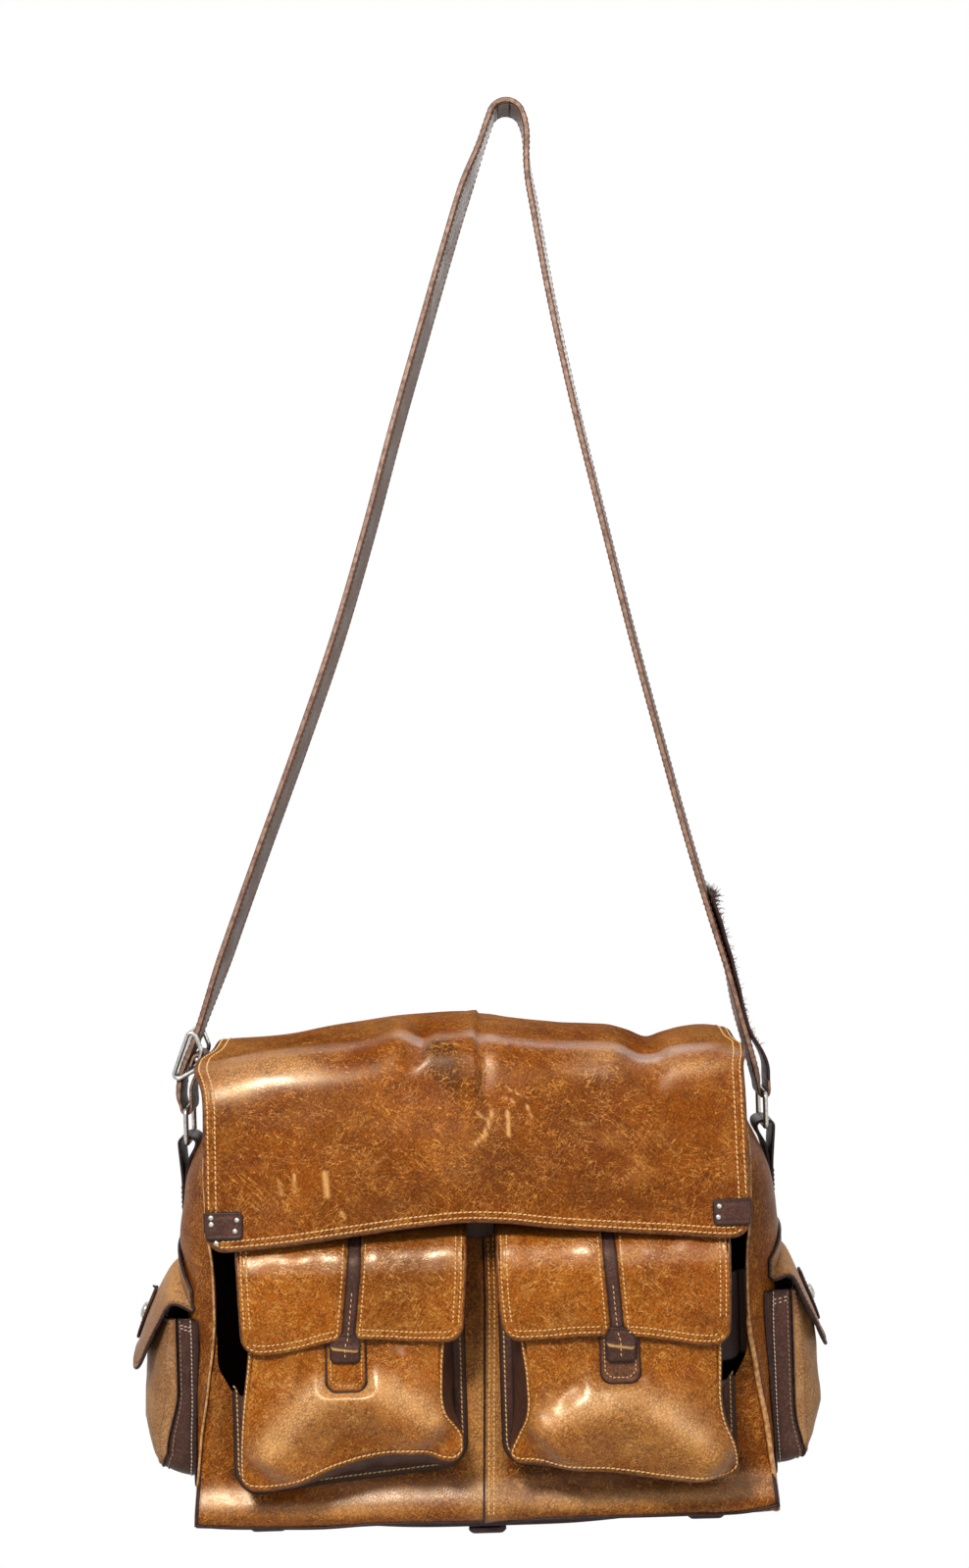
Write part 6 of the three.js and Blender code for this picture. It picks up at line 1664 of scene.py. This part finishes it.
def make_bottom():
    x = np.linspace(-197.0, 197.0, 110)[None, :]
    y = np.concatenate([[-60.2, -60.0, -59.0, -57.0, -54.0], np.linspace(-50, 50, 24),
                        [54.0, 57.0, 59.0, 60.0, 60.2]])[:, None]
    sag = 4.2 * np.exp(-(((x - 8) / 92) ** 4)) + 0.5
    lip = np.clip((np.abs(y) - 54) / 6, 0, 1)
    belly = np.exp(-(((x - 2) / 118) ** 6)) * lip
    z = -sag + (sag + 0.6) * lip**3 * (1 - 0.95 * belly) + 0.5 * ripples(x, y, 70, 101) * (1 - lip)
    z = z + np.clip(bottom_z(x) - 0.8, 0, 9) * 0.9
    grid = np.stack(np.broadcast_arrays(x, y, z), -1)
    piece = sheet("bottom", grid, PANEL + 2.4 * belly, (BLACK, RIM_DARK, SUEDE_DARK), facing=(0, 0, -1))
    dress(piece, "bag", ["bottom_panel"])
    runs = []
    for way in (-1, 1):
        along = np.linspace(-190, 190, 200)
        low = -(4.2 * np.exp(-(((along - 8) / 92) ** 4)) + 0.5)
        run = np.stack([along, np.full_like(along, way * 59.3), low * 0.45 + np.clip(bottom_z(along) - 0.8, 0, 9) * 0.9],
                       1)
        runs.append((run, np.tile([0.0, way * 0.8, -0.6], (len(run), 1))))
    threads("bottom_thread", runs, "bag", look=THREAD_DARK, pitch=3.6)
    for way, surface in ((-1, front_surface), (1, back_surface)):
        along = np.linspace(-199, 199, 160)
        z = bottom_z(along) + 0.4
        point = surface(along, z)
        point[:, 1] += way * 0.6
        piece = tube(f"welt_{way + 1}", point, 1.25, RIM_DARK, sides=8, up=(0, 1, 0))
        dress(piece, "bag")


def make_feet():
    for name, at in (("left", -150), ("centre", 0), ("right", 150)):
        x = np.linspace(-12, 12, 15)[None, :]
        y = np.concatenate([np.linspace(-59, -56, 5), np.linspace(-54, 54, 24), np.linspace(56, 59, 5)])[:, None]
        drop = 1 - np.clip((np.abs(y) - 55) / 4, 0, 1) ** 2 * 0.3 - np.clip((np.abs(x) - 9) / 3, 0, 1) ** 2 * 0.3
        z = -GAP - 5.0 * drop - (5.5 if at == 0 else 0.0)
        grid = np.stack(np.broadcast_arrays(x + at, y, z), -1)
        piece = sheet(f"runner_{name}", grid, 4.6, (BLACK, RIM_DARK, RIM_DARK), facing=(0, 0, -1))
        dress(piece, "bag", [f"foot_{name}"])


def make_snap():
    x = rounded(-10, 10, 4, 1.6, 5)[None, :]
    rows = np.linspace(0, 1, 22)[:, None]
    z = lerp(229.0, 195.0 + corner_rise(x, -10, 10, 4), rows)
    grid = front_surface(x, z)
    grid[..., 1] -= 5.6
    piece = sheet("patch_snap", grid, PATCH, (DARK, RIM_DARK, SUEDE_DARK), facing=(0, -1, 0), grooves=(2.0,),
                  depth=0.25)
    dress(piece, "bag", ["snap_patch"])


def make_lining():
    floor = PANEL + GAP + 2.5 + GAP
    top = float(rim_height(front_edge(HEIGHT))) - 8
    z = np.linspace(top, floor, 50)
    y_share = np.concatenate([np.linspace(-1, 1, 17)])
    rings = []
    for level in z:
        depth = float(face_y(level)) - PANEL - GAP
        right = []
        for s in y_share:
            reach = min(float(gusset_x(s * depth, level)), float(gusset_crown(level)))
            right.append((reach - PANEL - 2.3, s * (depth - 0.3)))
        xs = np.linspace(right[-1][0], -right[-1][0], 40)[1:-1]
        back = [(v, depth - 0.3) for v in xs]
        left = [(-a, b) for a, b in right[::-1]]
        front = [(v, -(depth - 0.3)) for v in xs[::-1]]
        ring = np.array([*right, *back, *left, *front, right[0]])
        slack = 0.9 * (ripples(np.arange(len(ring)) * 7.0, level, 70, 111) - 1) * ease((top - level) / 20)
        heading = unit(ring - ring.mean(0))
        rings.append(np.column_stack([ring + heading * slack[:, None], np.full(len(ring), level)]))
    grid = np.array(rings)
    centre = (0, 0, 150)
    piece = sheet("lining_walls", grid, 0.9, (CLOTH, CLOTH, CLOTH), centre=centre)
    dress(piece, "bag", ["lining"])
    x = np.linspace(-192, 192, 60)[None, :]
    y = np.linspace(-55.5, 55.5, 22)[:, None]
    level = floor + 1.2 + 0.3 * ripples(x, y, 60, 112)
    grid = np.stack(np.broadcast_arrays(x, y, level), -1)
    piece = sheet("lining_floor", grid, 0.9, (CLOTH, CLOTH, CLOTH), facing=(0, 0, 1))
    dress(piece, "bag")


make_bottom()
make_feet()
make_snap()
make_lining()

for node, look in (("base_board", BOARD), ("main_snap_socket", NICKEL), ("main_snap_stud", NICKEL),
                   ("snap_plate_left", NICKEL), ("snap_plate_right", NICKEL), ("tongue_magnet_left", NICKEL),
                   ("tongue_magnet_right", NICKEL), ("side_snap_socket_left", NICKEL),
                   ("side_snap_socket_right", NICKEL)):
    mesh = frame["nodes"][node].data
    mesh.materials.clear()
    mesh.materials.append(look)


# Floor, light and camera


def make_stage():
    sh = Shader("floor_pale")
    mesh = bpy.data.meshes.new("floor")
    sides = 96
    level = (-981 - 5.3 - 300) / 1000
    centre = world((10, 0, 0))[0]
    mesh.from_pydata([(centre + 0.72 * math.cos(a), 0.72 * math.sin(a), level)
                      for a in np.arange(sides) * 2 * math.pi / sides], [], [list(range(sides))])
    floor = bpy.data.objects.new("floor", mesh)
    bpy.context.scene.collection.objects.link(floor)
    diffuse = sh.tree.nodes.new("ShaderNodeBsdfDiffuse")
    diffuse.inputs["Color"].default_value = (0.86, 0.86, 0.86, 1)
    output = sh.tree.nodes.new("ShaderNodeOutputMaterial")
    sh.tree.links.new(diffuse.outputs[0], output.inputs[0])
    mesh.materials.append(sh.material)


def make_world():
    world_data = bpy.data.worlds.new("studio")
    bpy.context.scene.world = world_data
    world_data.use_nodes = True
    tree = world_data.node_tree
    tree.nodes.clear()
    rays = tree.nodes.new("ShaderNodeLightPath")
    seen = tree.nodes.new("ShaderNodeMath")
    seen.operation = "MAXIMUM"
    tree.links.new(rays.outputs["Is Camera Ray"], seen.inputs[0])
    tree.links.new(rays.outputs["Is Glossy Ray"], seen.inputs[1])
    clear = tree.nodes.new("ShaderNodeMath")
    clear.operation = "MAXIMUM"
    tree.links.new(seen.outputs[0], clear.inputs[0])
    tree.links.new(rays.outputs["Is Transmission Ray"], clear.inputs[1])
    light = tree.nodes.new("ShaderNodeBackground")
    light.inputs["Color"].default_value = (1, 1, 1, 1)
    light.inputs["Strength"].default_value = 0.36
    white = tree.nodes.new("ShaderNodeBackground")
    white.inputs["Color"].default_value = (1, 1, 1, 1)
    white.inputs["Strength"].default_value = 1.0
    mix = tree.nodes.new("ShaderNodeMixShader")
    tree.links.new(clear.outputs[0], mix.inputs[0])
    tree.links.new(light.outputs[0], mix.inputs[1])
    tree.links.new(white.outputs[0], mix.inputs[2])
    output = tree.nodes.new("ShaderNodeOutputWorld")
    tree.links.new(mix.outputs[0], output.inputs[0])


def area_light(name, place, target, size, power):
    data = bpy.data.lights.new(name, "AREA")
    data.shape = "RECTANGLE"
    data.size, data.size_y = size
    data.energy = power
    light = bpy.data.objects.new(name, data)
    bpy.context.scene.collection.objects.link(light)
    light.location = place
    from_to = np.array(target, float) - np.array(place, float)
    back = unit(-from_to)
    side = unit(np.cross([0, 0, 1.0], back))
    up = np.cross(back, side)
    light.rotation_euler = Matrix(np.stack([side, up, back], 1).tolist()).to_euler()


def make_camera():
    data = bpy.data.cameras.new("camera")
    data.sensor_fit = "AUTO"
    data.sensor_width = 36.0
    data.lens = 36.0 * 1590 / (1599 * 0.671)
    camera = bpy.data.objects.new("camera", data)
    bpy.context.scene.collection.objects.link(camera)
    camera.location = (-0.029, -1.65, -0.478)
    camera.rotation_euler = (math.radians(90), math.radians(1.7), 0)
    bpy.context.scene.camera = camera


make_stage()
make_world()
area_light("key", (-0.42, -1.25, 0.25), (-0.04, 0, -0.8), (0.36, 0.26), 28.0)
area_light("fill", (0.9, -1.3, -0.3), (-0.04, 0, -0.75), (0.8, 0.9), 5.0)
area_light("rear", (0.3, 1.3, 0.4), (-0.04, 0, -0.75), (1.2, 0.9), 10.0)
make_camera()
bpy.context.scene.view_settings.view_transform = "Standard"
